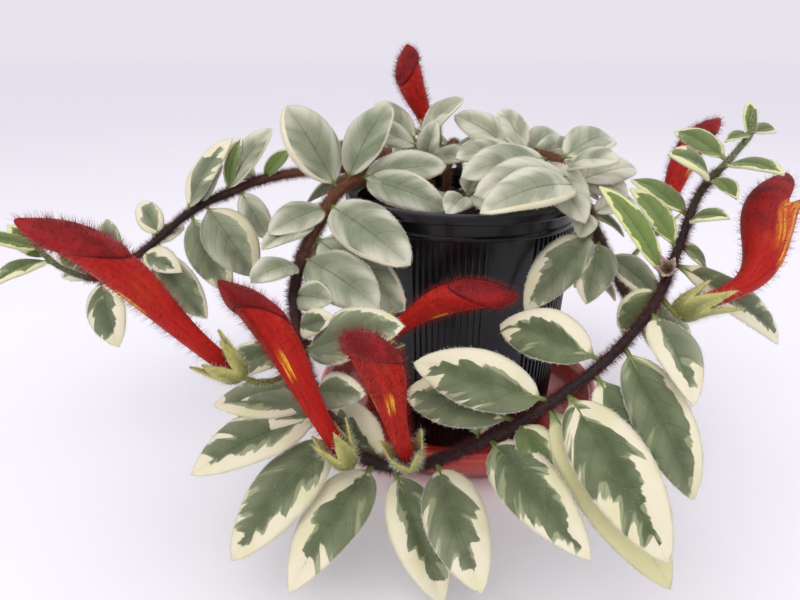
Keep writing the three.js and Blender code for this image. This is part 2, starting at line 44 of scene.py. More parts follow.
# The layout of the stems, as in the solids: path, then leaves as distance along the stem,
# heading, rise, length and, where it isn't usual, the width as a share of the length.
frontStem = {
    "radii": (2.2, 1),
    "path": [(-30, 0, 86), (-30, 0, 99), (-34, -2, 107), (-43, -7, 111), (-52, -15, 107), (-58, -27, 98),
             (-63, -40, 89), (-65, -53, 79), (-62, -67, 69), (-58, -78, 59), (-50, -88, 46),
             (-41, -92, 37), (-27, -94, 33), (-11, -97, 40), (14, -104, 61), (32, -101, 75),
             (48, -90, 87), (62, -72, 103), (70, -62, 116), (84, -52, 127), (91, -47, 134), (92, -45, 141)],
    "leaves": [
        (34, 332, -12, 40, 0.42), (36, 358, 10, 37, 0.42), (41, 41, 54, 38, 0.5), (46, 174, 60, 38, 0.54),
        (54, 312, -15, 48, 0.44), (55, 229, -8, 29), (64, 224, -8, 26), (70, 332, -30, 46),
        (81, 322, -16, 38, 0.56), (85, 240, 6, 25), (98, 329, 7, 17, 0.7), (112, 326, 26, 18, 0.6),
        (119, 207, -7, 31), (121, 337, 25, 40, 0.5), (135, 328, 14, 21, 0.6), (139, 192, 6, 33, 0.44),
        (143, 209, -10, 44, 0.42), (147, 186, 18, 32, 0.46), (151, 228, -27, 48, 0.4),
        (167, 237, -21, 46, 0.42), (172, 141, 23, 34, 0.54), (173, 296, -37, 43, 0.42),
        (188, 285, -20, 42, 0.46), (204, 90, 64, 28), (208, 295, -8, 46, 0.38), (219, 153, 2, 38),
        (219, 297, -20, 20, 0.56), (231, 168, 12, 42, 0.44), (229, 308, -36, 56, 0.36),
        (236, 291, -26, 50, 0.4), (250, 139, 4, 36, 0.5), (246, 294, -44, 34, 0.44),
        (258, 291, -41, 45, 0.38), (272, 277, -26, 32, 0.44), (268, 2, -44, 25), (282, 120, -57, 25),
        (292, 12, -33, 60, 0.2), (284, 137, 48, 36, 0.22), (297, 124, 41, 26, 0.32),
        (299, 28, -33, 20, 0.4), (308, 288, 20, 16, 0.42), (310, 120, 20, 26, 0.36),
        (326, 205, 27, 22, 0.5), (327, 284, -17, 13), (334, 283, 5, 24, 0.32), (336, 119, 20, 24, 0.36),
        (348, 70, 45, 16, 0.28), (349, 209, -3, 12, 0.36), (350, 23, 5, 12),
    ],
    "hairiness": 90,
}
leftStem = {
    "radii": (2.1, 1),
    "path": [(-34, 13, 86), (-34, 13, 99), (-38, 11, 107), (-47, 9, 112), (-58, 7, 112), (-76, 8, 110),
             (-90, 6, 107), (-103, 2, 102), (-111, 0, 99), (-119, -4, 94), (-134, -14, 82),
             (-149, -25, 74), (-158, -35, 82), (-161, -41, 91)],
    "leaves": [
        (73, 18, 46, 17), (75, 140, 10, 24), (84, 344, -60, 25, 0.5), (89, 34, 72, 24, 0.3),
        (91, 19, 52, 35, 0.36), (100, 337, -52, 38, 0.6), (102, 30, 57, 20), (107, 335, -64, 38, 0.46),
        (109, 24, 56, 38, 0.34), (123, 139, 47, 19, 0.6), (128, 57, 18, 18, 0.6), (129, 345, -53, 38, 0.42),
        (133, 339, -17, 20, 0.6), (144, 125, 49, 24), (152, 301, -50, 30, 0.54), (153, 150, 0, 24),
        (163, 120, 30, 16), (173, 247, -3, 24, 0.44), (174, 190, 50, 18), (179, 231, 27, 21, 0.36),
        (179, 90, 50, 12),
    ],
    "hairiness": 90,
}
rightStem = {
    "radii": (2.1, 1.1),
    "path": [(8, 14, 86), (8, 14, 99), (12, 10, 109), (20, 4, 118), (30, -7, 120), (36, -20, 118),
             (40, -31, 111), (45, -37, 99), (51, -38, 88), (59, -34, 75), (69, -27, 61), (79, -18, 47),
             (87, -9, 35)],
    "leaves": [
        (30, 262, 22, 26), (32, 100, 30, 28), (41, 209, 4, 30), (42, 162, 30, 32), (44, 45, 19, 26),
        (46, 125, 47, 24), (48, 33, 4, 28), (49, 146, 14, 30), (51, 284, -21, 45, 0.38), (60, 196, -6, 38),
        (61, 330, -20, 32), (64, 38, 13, 36), (70, 292, 16, 28, 0.4), (76, 204, -2, 42, 0.44),
        (78, 20, 10, 28), (80, 216, -2, 48, 0.38), (90, 243, -40, 12, 0.8), (92, 30, 10, 24),
        (98, 205, -42, 40, 0.44), (102, 246, -42, 27, 0.6), (108, 318, -30, 26), (128, 30, -20, 28),
        (138, 330, -20, 26), (140, 60, 0, 26), (156, 290, -10, 24), (166, 40, -30, 24),
    ],
    "hairiness": 80,
}
crownStem = {
    "radii": (1.8, 1.1),
    "path": [(-14, 4, 86), (-14, 4, 99), (-15, 6, 110), (-17, 10, 118), (-20, 16, 124)],
    "leaves": [
        (25, 128, 24, 26), (26, 280, 60, 25), (32, 325, 6, 25), (37, 190, 20, 30), (39, 330, 46, 28),
        (40, 160, 40, 26),
    ],
    "hairiness": 50,
}
crownLowStem = {
    "radii": (1.6, 1),
    "path": [(-2, -12, 86), (-2, -12, 99), (-1, -15, 104), (1, -20, 107)],
    "leaves": [
        (16, 196, 4, 25), (17, 352, 2, 28), (20, 250, 0, 25), (21, 75, 6, 25), (23, 300, 2, 25),
    ],
    "hairiness": 50,
}
backWood = {"radii": (2, 1.1), "hairiness": 50}
backStem = {
    **backWood,
    "path": [(-6, 20, 86), (-6, 20, 99), (-5, 24, 111), (-3, 33, 118), (0, 45, 118), (3, 56, 108),
             (5, 64, 92), (6, 70, 74), (6, 74, 56), (5, 76, 40)],
    "first": 34,
}
backLeftStem = {
    **backWood,
    "path": [(-20, 24, 86), (-20, 24, 99), (-25, 31, 111), (-34, 41, 115), (-43, 50, 108),
             (-51, 58, 94), (-57, 66, 76), (-63, 73, 58), (-68, 79, 42)],
    "first": 45,
}
backRightStem = {
    **backWood,
    "path": [(18, 24, 86), (18, 24, 99), (24, 31, 111), (34, 39, 115), (46, 45, 109),
             (56, 50, 94), (64, 54, 76), (71, 58, 58), (77, 62, 42)],
    "first": 42,
}
stems = {
    "front": frontStem, "left": leftStem, "right": rightStem, "crown": crownStem,
    "crown_low": crownLowStem, "back": backStem, "back_left": backLeftStem, "back_right": backRightStem,
}

# Flowers: the stem, the distance along it, the foot of the corolla, the tip of its hood and,
# where it isn't usual, how it rolls, arches, rises and sags.
flowers = {
    "far_left": {"stem": "front", "at": 125, "base": (-74, -102, 72), "tip": (-118, -117, 121)},
    "front_left": {"stem": "front", "at": 158, "base": (-43, -103, 42), "tip": (-79, -93, 97), "roll": 65},
    "front_facing": {"stem": "front", "at": 182, "base": (-24, -103, 42), "tip": (-39, -129, 97)},
    "front_middle": {"stem": "front", "at": 117, "base": (-37, -60, 61), "tip": (11, -74, 85),
                     "arch": 0.68, "rise": 1.5},
    "back_upright": {"stem": "back", "at": 30, "base": (-12, 20, 121), "tip": (-24, 25, 162), "roll": -125},
    "right_open": {"stem": "front", "at": 278, "base": (58, -90, 86), "tip": (100, -58, 122),
                   "roll": -61, "arch": 0, "sag": 5.6, "open": True},
    "back_right": {"stem": "right", "at": 118, "base": (77, -14, 91), "tip": (107, 8, 133), "roll": -60},
}


def srgb(*colour):  # a colour as the eye names it, 0 to 255, for the shader
    shares = [value / 255 for value in colour]
    return (*[s / 12.92 if s <= 0.04045 else ((s + 0.055) / 1.055) ** 2.4 for s in shares], 1.0)


def drawn(seed):  # a repeatable draw between -1 and 1
    wave = math.sin(seed * 12.9898) * 43758.5453
    return 2 * (wave - math.floor(wave)) - 1


def unit(vector):  # one direction, or a row of them, at length 1
    return vector / np.linalg.norm(vector, axis=-1, keepdims=True)


# Shader helpers
class Signal:  # a socket that can stand in a sum
    def __init__(self, paint, socket):
        self.paint = paint
        self.socket = socket

    def math(self, operation, first, second=0.0, clamp=False):
        settings = {"operation": operation, "use_clamp": clamp}
        return self.paint.node("Math", settings, {0: first, 1: second})

    def __add__(self, other):
        return self.math("ADD", self, other)

    def __sub__(self, other):
        return self.math("SUBTRACT", self, other)

    def __rsub__(self, other):
        return self.math("SUBTRACT", other, self)

    def __mul__(self, other):
        return self.math("MULTIPLY", self, other)

    def __abs__(self):
        return self.math("ABSOLUTE", self)

    __radd__ = __add__
    __rmul__ = __mul__

    def above(self, level):  # 1 where the value is above the level
        return self.math("GREATER_THAN", self, level)

    def clamped(self):
        return self.math("ADD", self, 0.0, clamp=True)

    def ramp(self, low, high):  # 0 below low, 1 above high, smooth between
        settings = {"interpolation_type": "SMOOTHSTEP"}
        return self.paint.node("MapRange", settings, {0: self, 1: low, 2: high})


class Paint:  # a material, its nodes, and the palette that its colours are named in
    def __init__(self, name, palette=None):
        self.material = bpy.data.materials.new(name)
        self.material.use_nodes = True
        self.nodes = self.material.node_tree.nodes
        self.palette = palette

    def node(self, kind, settings=None, sockets=None, output=0):
        made = self.nodes.new("ShaderNode" + kind)
        for key, value in (settings or {}).items():
            setattr(made, key, value)
        self.join(made, sockets or {})
        return Signal(self, made.outputs[output])

    def join(self, node, sockets):
        for key, value in sockets.items():
            if isinstance(value, Signal):
                self.material.node_tree.links.new(value.socket, node.inputs[key])
            else:
                node.inputs[key].default_value = value

    def parts(self, vector):
        split = self.node("SeparateXYZ", None, {0: vector})
        return [Signal(self, socket) for socket in split.socket.node.outputs]

    def attribute(self, name):  # the three numbers of a stored attribute
        return self.parts(self.node("Attribute", {"attribute_name": name}, output=1))

    def place(self, scale=(1, 1, 1)):  # where a point is on the object, in metres
        where = self.node("TexCoord", output=3)
        return self.node("Mapping", None, {"Vector": where, "Scale": scale})

    def noise(self, scale, detail=2.0, vector=None, roughness=0.5):
        at = vector or self.place()
        return self.node(
            "TexNoise", None, {"Vector": at, "Scale": scale, "Detail": detail, "Roughness": roughness})

    def pattern(self, x, y, z, detail=1.0):  # noise over three numbers
        return self.noise(1.0, detail, self.node("CombineXYZ", None, {0: x, 1: y, 2: z}))

    def tint(self, colour):  # a signal, a name on the palette, or red, green and blue from 0 to 255
        if isinstance(colour, str):
            colour = self.palette[colour]
        return colour if isinstance(colour, Signal) else srgb(*colour)

    def layered(self, colour, *layers):  # a colour with others laid over it, each by its mask
        for mask, over in layers:
            sockets = {0: mask, 6: self.tint(colour), 7: self.tint(over)}
            colour = self.node("Mix", {"data_type": "RGBA"}, sockets, output=2)
        return colour

    def finish(self, colour, roughness, relief=None, others=None):  # relief: height, depth and strength
        sockets = {"Base Color": colour, "Roughness": roughness, **(others or {})}
        if relief:
            height, depth, strength = relief
            bump = {"Strength": strength, "Distance": depth * mm, "Height": height}
            sockets["Normal"] = self.node("Bump", None, bump)
        self.join(self.nodes["Principled BSDF"], sockets)
        return self.material


# Modelling helpers
def onlySelect(*pieces):
    bpy.ops.object.select_all(action="DESELECT")
    for piece in pieces:
        piece.select_set(True)
    if pieces:
        bpy.context.view_layer.objects.active = pieces[0]


def added(name, operator, **settings):  # what an operator adds, alone in the selection
    onlySelect()
    operator(**settings)
    piece = bpy.context.object
    piece.name = name
    return piece


def copyOf(piece):
    copy = piece.copy()
    copy.data = piece.data.copy()
    bpy.context.collection.objects.link(copy)
    return copy


def pointsOf(piece):
    flat = np.zeros(len(piece.data.vertices) * 3)
    piece.data.vertices.foreach_get("co", flat)
    return flat.reshape(-1, 3)


def movePoints(piece, points):
    piece.data.vertices.foreach_set("co", np.asarray(points, np.float32).ravel())
    piece.data.update()


def storeAttribute(piece, name, *columns):
    attribute = piece.data.attributes.new(name, "FLOAT_VECTOR", "POINT")
    rows = np.stack(np.broadcast_arrays(*columns), 1)
    attribute.data.foreach_set("vector", rows.astype(np.float32).ravel())


def flatSheet(name, alongCuts, acrossCuts):  # 0 to 1 along X, -1 to 1 along Y
    sheet = added(
        name, bpy.ops.mesh.primitive_grid_add, x_subdivisions=alongCuts, y_subdivisions=acrossCuts, size=2)
    points = pointsOf(sheet)
    points[:, 0] = (points[:, 0] + 1) / 2
    movePoints(sheet, points)
    return sheet


def applyModifier(piece, kind, **settings):
    onlySelect(piece)
    modifier = piece.modifiers.new(kind.title(), kind)
    for key, value in settings.items():
        setattr(modifier, key, value)
    bpy.ops.object.modifier_apply(modifier=modifier.name)


def shadeSmooth(piece, angle=180):
    onlySelect(piece)
    if angle < 180:
        bpy.ops.object.shade_smooth_by_angle(angle=angle * degree)
    else:
        bpy.ops.object.shade_smooth()


def joined(name, pieces):
    onlySelect(*pieces)
    bpy.ops.object.join()
    whole = bpy.context.object
    whole.name = name
    return whole


def sealSeams(fillEnds=False):  # in edit mode: seams merged, ends filled, faces turned outward
    bpy.ops.mesh.select_all(action="SELECT")
    bpy.ops.mesh.remove_doubles(threshold=1e-6)
    if fillEnds:
        bpy.ops.mesh.select_all(action="DESELECT")
        bpy.ops.mesh.select_non_manifold()
        bpy.ops.mesh.fill_holes(sides=0)
    bpy.ops.mesh.select_all(action="SELECT")
    bpy.ops.mesh.normals_make_consistent(inside=False)
    bpy.ops.object.mode_set(mode="OBJECT")


def closeSheet(piece, fillEnds=False):
    onlySelect(piece)
    bpy.ops.object.mode_set(mode="EDIT")
    sealSeams(fillEnds)


def spun(name, profile, steps):  # a profile of radius and height pairs, turned about the pot's axis
    start = (profile[0][0] * mm, 0, profile[0][1] * mm)
    piece = added(name, bpy.ops.mesh.primitive_plane_add, size=mm, location=start)
    bpy.ops.object.transform_apply(location=True)
    bpy.ops.object.mode_set(mode="EDIT")
    bpy.ops.mesh.select_all(action="SELECT")
    bpy.ops.mesh.merge(type="CENTER")
    for (fromRadius, fromZ), (toRadius, toZ) in zip(profile, profile[1:]):
        step = ((toRadius - fromRadius) * mm, 0, (toZ - fromZ) * mm)
        bpy.ops.mesh.extrude_region_move(TRANSFORM_OT_translate={"value": step})
    bpy.ops.mesh.select_all(action="SELECT")
    bpy.ops.mesh.spin(steps=steps, angle=2 * math.pi, center=(0, 0, 0), axis=(0, 0, 1))
    sealSeams()
    return piece


def finished(piece, look=None, node=None, smooth=180):  # node: the solid that it stands for
    if look:
        piece.data.materials.append(look)
    if smooth:
        shadeSmooth(piece, smooth)
    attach(piece, "root")
    if node:
        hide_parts(node)


# Curves and frames, worked out as for the solids
class StemCurve:  # a centripetal curve through a stem's points, measured along its length
    shares = np.linspace(0, 1, 201)

    def __init__(self, path):
        points = np.array(path, float)
        self.points = np.vstack([2 * points[0] - points[1], points, 2 * points[-1] - points[-2]])
        samples = np.array([self.atShare(share) for share in self.shares])
        self.lengths = np.concatenate([[0], np.cumsum(np.linalg.norm(np.diff(samples, axis=0), axis=1))])
        self.length = self.lengths[-1]

    def atShare(self, share):
        spans = len(self.points) - 3
        whole = min(int(spans * share), spans - 1)
        weight = spans * share - whole
        before, start, end, after = corners = self.points[whole:whole + 4]
        gap0, gap1, gap2 = np.linalg.norm(np.diff(corners, axis=0), axis=1) ** 0.5
        slope0 = (start - before) / gap0 - (end - before) / (gap0 + gap1) + (end - start) / gap1
        slope1 = (end - start) / gap1 - (after - start) / (gap1 + gap2) + (after - end) / gap2
        slope0, slope1 = slope0 * gap1, slope1 * gap1
        square = -3 * start + 3 * end - 2 * slope0 - slope1
        cube = 2 * start - 2 * end + slope0 + slope1
        return start + slope0 * weight + square * weight ** 2 + cube * weight ** 3

    def shareAt(self, distance):
        return float(np.interp(distance, self.lengths, self.shares))

    def at(self, distance):
        return self.atShare(self.shareAt(distance))

    def along(self, distance):
        share = self.shareAt(distance)
        return unit(self.atShare(min(share + 1e-4, 1)) - self.atShare(max(share - 1e-4, 0)))


def direction(heading, rise):
    level = math.cos(rise * degree)
    return np.array([
        level * math.cos(heading * degree), level * math.sin(heading * degree), math.sin(rise * degree)])


def frameAlong(along, toward, roll):  # side and face square to a direction, both turned by roll
    side = unit(np.cross(along, toward))
    face = np.cross(side, along)
    turn, lean = math.cos(roll * degree), math.sin(roll * degree)
    return turn * side + lean * np.cross(along, side), turn * face + lean * np.cross(along, face)


pairForm = {"spacing": 21, "spreads": (48, 82), "bareEnd": 2}


def pairsByRule(curve, first, seed):  # leaf rows for the stems at the back
    rows = []
    places = np.arange(first, curve.length - pairForm["bareEnd"], pairForm["spacing"])
    for number, distance in enumerate(places):
        share = distance / curve.length
        along = curve.along(distance)
        stemHeading = math.atan2(along[1], along[0]) / degree
        for hand in (1, -1):
            key = seed + number * 7 + hand
            spread = pairForm["spreads"][number % 2] + 10 * drawn(key)
            rise = 16 - 50 * share + 12 * drawn(key + 3)
            size = 34 - 8 * share + 4 * drawn(key + 5)
            rows.append((distance + hand, stemHeading + hand * spread, rise, size))
    return rows


# Camera, and in metres the lights and the table
camera = {"place": (-27, -259, 157), "down": 21.6, "lens": 27.54, "nearest": 5}
lights = {
    "window": {"place": (-0.35, -0.55, 0.85), "size": 0.9, "power": 3.3},
    "room": {"place": (0.7, -0.1, 0.75), "size": 1.0, "power": 1.5},
}
lightAim = Vector((0, -0.02, 0.06))
room = {"colour": srgb(237, 233, 243), "strength": 0.95, "tableSize": 40, "tableDrop": 0.0004}


def setStage():
    made = added(
        "Camera", bpy.ops.object.camera_add, location=[v * mm for v in camera["place"]],
        rotation=((90 - camera["down"]) * degree, 0, 0))
    made.data.sensor_width = 36
    made.data.lens = camera["lens"]
    made.data.clip_start = camera["nearest"] * mm
    bpy.context.scene.camera = made
    for name, light in lights.items():
        made = added(name, bpy.ops.object.light_add, type="AREA", location=light["place"])
        made.data.size = light["size"]
        made.data.energy = light["power"]
        made.rotation_euler = (lightAim - Vector(light["place"])).to_track_quat("-Z", "Y").to_euler()
    world = bpy.data.worlds.new("pale_room")
    world.use_nodes = True
    backdrop = world.node_tree.nodes["Background"].inputs
    backdrop["Color"].default_value = room["colour"]
    backdrop["Strength"].default_value = room["strength"]
    bpy.context.scene.world = world
    bpy.context.scene.view_settings.view_transform = "Standard"
    floor = added(
        "table_top", bpy.ops.mesh.primitive_plane_add, size=room["tableSize"],
        location=(0, 0, -room["tableDrop"]))
    bpy.ops.object.transform_apply(location=True)
    paint = Paint("pale_table")
    table = paint.layered((251, 250, 252), (paint.noise(3.0), (254, 253, 254)))
    floor.data.materials.append(paint.finish(table, 0.6))


setStage()
print("stage set")


# Leaves
leafForm = {
    "alongCuts": 22, "acrossCuts": 12, "thickness": 0.7, "petiole": 4, "petioleWidth": 1.3,
    "edgeLift": 0.06, "dome": 0.2, "wave": 0.05, "crease": 0.4, "creaseWidth": 0.12,
    "twist": 6, "slimness": 0.97, "veinSpacing": 3.4,
    "tipCurl": 0.05, "usualShare": 0.46, "usualBow": 0.08, "mostRoll": 10, "middleLength": 31,
    "baseFullness": 0.58, "tipFullness": 0.76, "silveryTip": 0.64,
}
leafColours = {
    "dark": (76, 88, 52), "green": (114, 126, 86), "sage": (162, 169, 126),
    "cream": (233, 226, 194), "yellow": (215, 211, 152), "edge": (214, 215, 184),
    # the silvery leaves' tones, darkest to palest; the palest is partly their pale margin and partly painted
    # sheen
    "shade": (112, 124, 90), "silver": (158, 165, 134), "paleFrostingAndSheen": (219, 218, 194),
    "midrib": (84, 106, 50), "crease": (94, 105, 68), "petiole": (112, 130, 62),
    "fresh": (116, 138, 62), "freshEdge": (222, 226, 148),
}
# Where the first leaves of a stem end, which are silvery with hardly any cream, how pale their
# frosting is, which is partly painted sheen, and where the small fresh leaves near its tip begin
silveryUpTo = {"front": 112, "right": 95, "left": 95, "crown": 99, "crown_low": 99}
frostingAndSheen = {"front": 0.92, "right": 1.35, "left": 1.0, "crown": 1.45, "crown_low": 1.3}
freshFrom = {"front": 280, "left": 160, "right": 150}
# Notable leaves: cream margin, lean of the cream to one side and silvery tone, by their keys, 100 for
# each stem and then the leaf's place on it
notableMarkings = {
    113: (0.12, 0.1, 0.25), 114: (0.16, 0.3, 0.3), 115: (0.16, 0.3, 0.2), 116: (0.3, 0.45, 0.15),
    117: (0.3, 0.5, 0.3), 118: (0.24, 0.34, 0.15), 119: (0.4, -0.6, 0.15), 120: (0.5, -0.5, 0.3),
    121: (0.36, -0.4, 0.1), 122: (0.3, 0.4, 0.2), 124: (0.2, 0.24, 0.05), 125: (0.28, -0.4, 0.1),
    126: (0.3, 0.3, -0.3), 127: (0.32, -0.55, 0.1), 128: (0.8, 0.2, 0.1), 129: (0.26, 0.3, 0.0),
    130: (0.36, -0.5, 0.0), 131: (0.3, -0.3, 0.1), 132: (0.12, 0.25, 0.1), 133: (0.36, -0.4, 0.3),
    136: (0.3, -0.3, 0.0), 137: (0.18, 0.1, -0.9), 138: (0.2, 0.1, -0.8), 200: (0.12, 0.2, -0.8),
    203: (0.15, 0.2, -0.5), 205: (0.12, 0.5, 0.6), 209: (0.5, 0.3, 0.6), 210: (0.4, -0.3, 0.3),
    212: (0.45, 0.2, 0.3), 214: (0.4, 0.4, 0.1), 318: (0.22, -0.3, 0.3),
}


class LeafBlade:  # one leaf's surface: a point for each share along it and across it
    def __init__(self, base, row, key, toward, silvery):
        _, heading, rise, length, *width = row
        self.base = base
        self.length = length
        self.along = direction(heading, rise)
        share = width[0] if width else leafForm["usualShare"] + 0.04 * drawn(key)
        self.halfWidth = leafForm["slimness"] * length * share / 2
        self.side, self.face = frameAlong(self.along, toward, leafForm["mostRoll"] * drawn(key + 31))
        self.bow = leafForm["usualBow"] + 0.03 * drawn(key + 57)
        self.petiole = leafForm["petiole"] if length >= leafForm["middleLength"] else 0.1 * length
        self.phase = drawn(key + 71) * math.pi
        self.twist = leafForm["twist"] * drawn(key + 83) * degree
        self.atBase = leafForm["baseFullness"] + 0.05 * drawn(key + 91)
        self.atTip = leafForm["silveryTip" if silvery else "tipFullness"] + 0.06 * drawn(key + 97)

    def half(self, distance):
        blade = np.clip((distance - self.petiole) / (self.length - self.petiole), 0, 1)
        widest = self.atBase / (self.atBase + self.atTip)
        most = widest ** self.atBase * (1 - widest) ** self.atTip
        half = self.halfWidth * blade ** self.atBase * (1 - blade) ** self.atTip / most
        return np.maximum(half, leafForm["petioleWidth"] / 2 * (1 - 0.6 * blade)), blade

    def points(self, share, across):
        distance = share * self.length
        half, blade = self.half(distance)
        width = np.abs(across)
        fullness = half / self.halfWidth
        dome = leafForm["dome"] * 4 * width * (1 - width) * fullness
        ripple = leafForm["wave"] * width ** 3 * np.sin(3 * math.pi * blade + self.phase + across)
        height = half * (leafForm["edgeLift"] * width + dome + ripple)
        height -= leafForm["crease"] * fullness * np.exp(-(width / leafForm["creaseWidth"]) ** 2)
        height += 4 * self.bow * self.length * share * (1 - share)
        height -= leafForm["tipCurl"] * self.length * blade ** 6
        turn = self.twist * blade
        sideways = -across * half
        return (self.base + np.outer(distance, self.along) + np.outer(sideways * np.cos(turn), self.side)
                + np.outer(height + sideways * np.sin(turn), self.face))


def leafMarking(stemName, row, key, silvery):  # cream margin, its lean to one side, silvery tone
    distance, length = row[0], row[3]
    spread, lean, tone = abs(drawn(key + 101)), 0.4 * drawn(key + 113), drawn(key + 131)
    if key in notableMarkings:
        return notableMarkings[key]
    if silvery:
        return -0.06 + 0.16 * spread ** 2, 0.6 * lean, frostingAndSheen[stemName] + 0.25 * tone
    if distance > freshFrom.get(stemName, 999) and length < 27:
        return 0.1 + 0.16 * spread, 0.5 * lean, -0.55 - 0.35 * tone
    if stemName == "front":
        return 0.1 + 0.3 * spread, lean, 0.1 + 0.1 * tone
    return 0.06 + 0.26 * spread, lean, 0.35 + 0.2 * tone


def addLeaf(blank, blade, marking, key):
    piece = copyOf(blank)
    share, across, _ = pointsOf(piece).T
    half, along = blade.half(share * blade.length)
    storeAttribute(piece, "leafPlace", share * blade.length, across * half, key)
    storeAttribute(piece, "leafShare", along, across, half / blade.halfWidth)
    storeAttribute(piece, "leafMarking", *np.outer(marking, np.ones_like(share)))
    movePoints(piece, blade.points(share, across) * mm)
    return piece


def leafLook(name, underside):
    paint = Paint(name, leafColours)
    along, across, seed = paint.attribute("leafPlace")
    share, width, fullness = paint.attribute("leafShare")
    cream, lean, tone = paint.attribute("leafMarking")
    # past a tone of 1 a leaf gets extra frosting, which is partly painted sheen
    silver, fresh, extraFrostingAndSheen = tone.clamped(), (0.0 - tone).clamped(), (tone - 1.0).clamped()
    half = width.above(0.0) * 9.0
    out = abs(across)
    veinLine = along - 0.85 * out - 0.045 * out * out
    rim = (1.0 - abs(width)) * fullness
    tip = share.ramp(0.55, 1.0)
    # the edge of the green: broad bays and fine teeth that run along the side veins
    bold = paint.pattern(veinLine * 0.17, across * 0.07, seed * 3.7 + half)
    ragged = paint.pattern(veinLine * 0.75, across * 0.16, seed * 5.3 + half, 2.0)
    reach = cream + lean * width + 0.3 * tip * cream.ramp(0.03, 0.3)
    reach = reach + (bold - 0.5) * 1.5 * cream.ramp(0.02, 0.3)
    reach = reach + (ragged - 0.5) * 0.3 * cream.ramp(0.0, 0.2)
    creamMask = ((reach - rim) * 22.0 + 0.5).clamped()
    patch = paint.pattern(veinLine * 0.22, across * 0.12, seed * 2.1 + half + 31.0, 1.5)
    sageMask = ((reach + (patch - 0.42) * 1.5 - rim) * 9.0).clamped()
    mottle = paint.pattern(along * 0.16, across * 0.16, seed, 2.5)
    leafTone = paint.pattern(seed * 1.3, seed * 0.7, 0.0, 0.0)
    lit = mottle.ramp(0.3, 0.8) * 0.6 + abs(width).ramp(0.0, 0.7) * 0.4
    # silvery leaves: clouds of grey green, paler toward the edge and tip in broad patches: partly the pale
    # margin, partly painted sheen
    broad = paint.pattern(veinLine * 0.1, across * 0.09, seed * 1.9)
    cloud = leafTone.ramp(0.25, 0.8) * 0.35 + mottle.ramp(0.35, 0.8) * 0.2 + broad.ramp(0.4, 0.7) * 0.4
    # painted sheen over the real pale margin: lighter near the edge and tip, in broad patches
    paleRimAndSheen = (1.0 - rim.ramp(0.0, 0.7)) * broad.ramp(0.3, 0.6) + tip * 0.25
    silveryWithSheen = paint.layered(
        "shade", (cloud, "silver"), (paleRimAndSheen * 0.85 + cloud * 0.25, "paleFrostingAndSheen"),
        (extraFrostingAndSheen * (0.3 + 1.2 * broad.ramp(0.35, 0.65)), "paleFrostingAndSheen"))
    green = paint.layered(
        "dark", (lit, "green"), (sageMask * 0.75, "sage"), (silver, silveryWithSheen), (fresh, "fresh"))
    yellowing = paint.pattern(along * 0.08, across * 0.08, seed + 17.0)
    pale = paint.layered(
        "cream", (yellowing.ramp(0.45, 0.75) * 0.6, "yellow"), (cream.ramp(0.6, 0.75) * 0.8, "yellow"),
        (fresh, "freshEdge"))
    # side veins that curve toward the tip, and the midrib
    spacing = leafForm["veinSpacing"]
    away = paint.node("Math", {"operation": "PINGPONG"}, {0: veinLine + 50.0, 1: spacing})
    vein = (1.0 - away.ramp(0.0, 0.42)) * (1.0 - share.ramp(0.75, 0.95)) * rim.ramp(0.05, 0.3)
    vein = vein * (1.0 - creamMask)
    midrib = (1.0 - abs(width).ramp(0.01, 0.055)) * (1.0 - share.ramp(0.45, 1.0) * 0.8)
    veinGreen = paint.layered("midrib", (silver, "crease"))
    colour = paint.layered(
        green, (creamMask, pale), ((1.0 - rim.ramp(0.01, 0.045)) * 0.55, "edge"), (vein * 0.16, veinGreen),
        (midrib * 0.55 * (1.0 - creamMask * 0.6), veinGreen), (1.0 - share.ramp(0.0, 0.05), "petiole"))
    if underside:
        colour = paint.layered(colour, (0.4, "sage"))
    fuzz = paint.pattern(along * 4.0, across * 4.0, seed, 2.0)
    quilt = away * (0.6 / spacing)
    folds = paint.pattern(veinLine * 0.5, across * 0.3, seed)
    relief = fuzz * 0.3 + folds * 0.8 + quilt * (1.0 - creamMask * 0.6) - vein * 0.4
    return paint.finish(
        colour, 0.46 + 0.2 * fuzz, (relief, 0.35, 0.7),
        {"Sheen Weight": 0.18, "Sheen Roughness": 0.5, "Specular IOR Level": 0.4})


# Hairs: slender three-sided spikes
def hairCoat(name, slot, look, width, roots, ways, lengths):
    ways = unit(ways)
    lean = np.where(np.abs(ways[:, 2:]) > 0.9, [[1.0, 0, 0]], [[0, 0, 1.0]])
    side = unit(np.cross(ways, lean))
    other = np.cross(ways, side)
    corners = [roots + width * (math.cos(angle) * side + math.sin(angle) * other)
               for angle in (0, 2 * math.pi / 3, 4 * math.pi / 3)]
    points = np.stack([*corners, roots + ways * lengths[:, None]], 1).reshape(-1, 3) * mm
    spike = np.array([[0, 2, 1], [0, 1, 3], [1, 2, 3], [2, 0, 3]])
    faces = (4 * np.arange(len(roots))[:, None, None] + spike).reshape(-1, 3)
    mesh = bpy.data.meshes.new(name)
    mesh.from_pydata(points, [], faces, shade_flat=False)
    piece = bpy.data.objects.new(name, mesh)
    bpy.context.collection.objects.link(piece)
    finished(piece, look, smooth=0)


def scattered(piece, count, chance):  # places and outward ways spread evenly over a piece
    mesh = piece.data
    mesh.calc_loop_triangles()
    index = np.zeros(len(mesh.loop_triangles) * 3, dtype=np.int32)
    mesh.loop_triangles.foreach_get("vertices", index)
    corners = (pointsOf(piece) / mm)[index.reshape(-1, 3)]
    normals = np.cross(corners[:, 1] - corners[:, 0], corners[:, 2] - corners[:, 0])
    area = np.linalg.norm(normals, axis=1)
    chosen = chance.choice(len(area), count, p=area / area.sum())
    a, b = chance.random((2, count, 1))
    folded = a + b > 1
    a, b = np.where(folded, 1 - a, a), np.where(folded, 1 - b, b)
    first, second, third = corners[chosen].transpose(1, 0, 2)
    places = first + a * (second - first) + b * (third - first)
    return places, normals[chosen] / np.maximum(area[chosen, None], 1e-9)


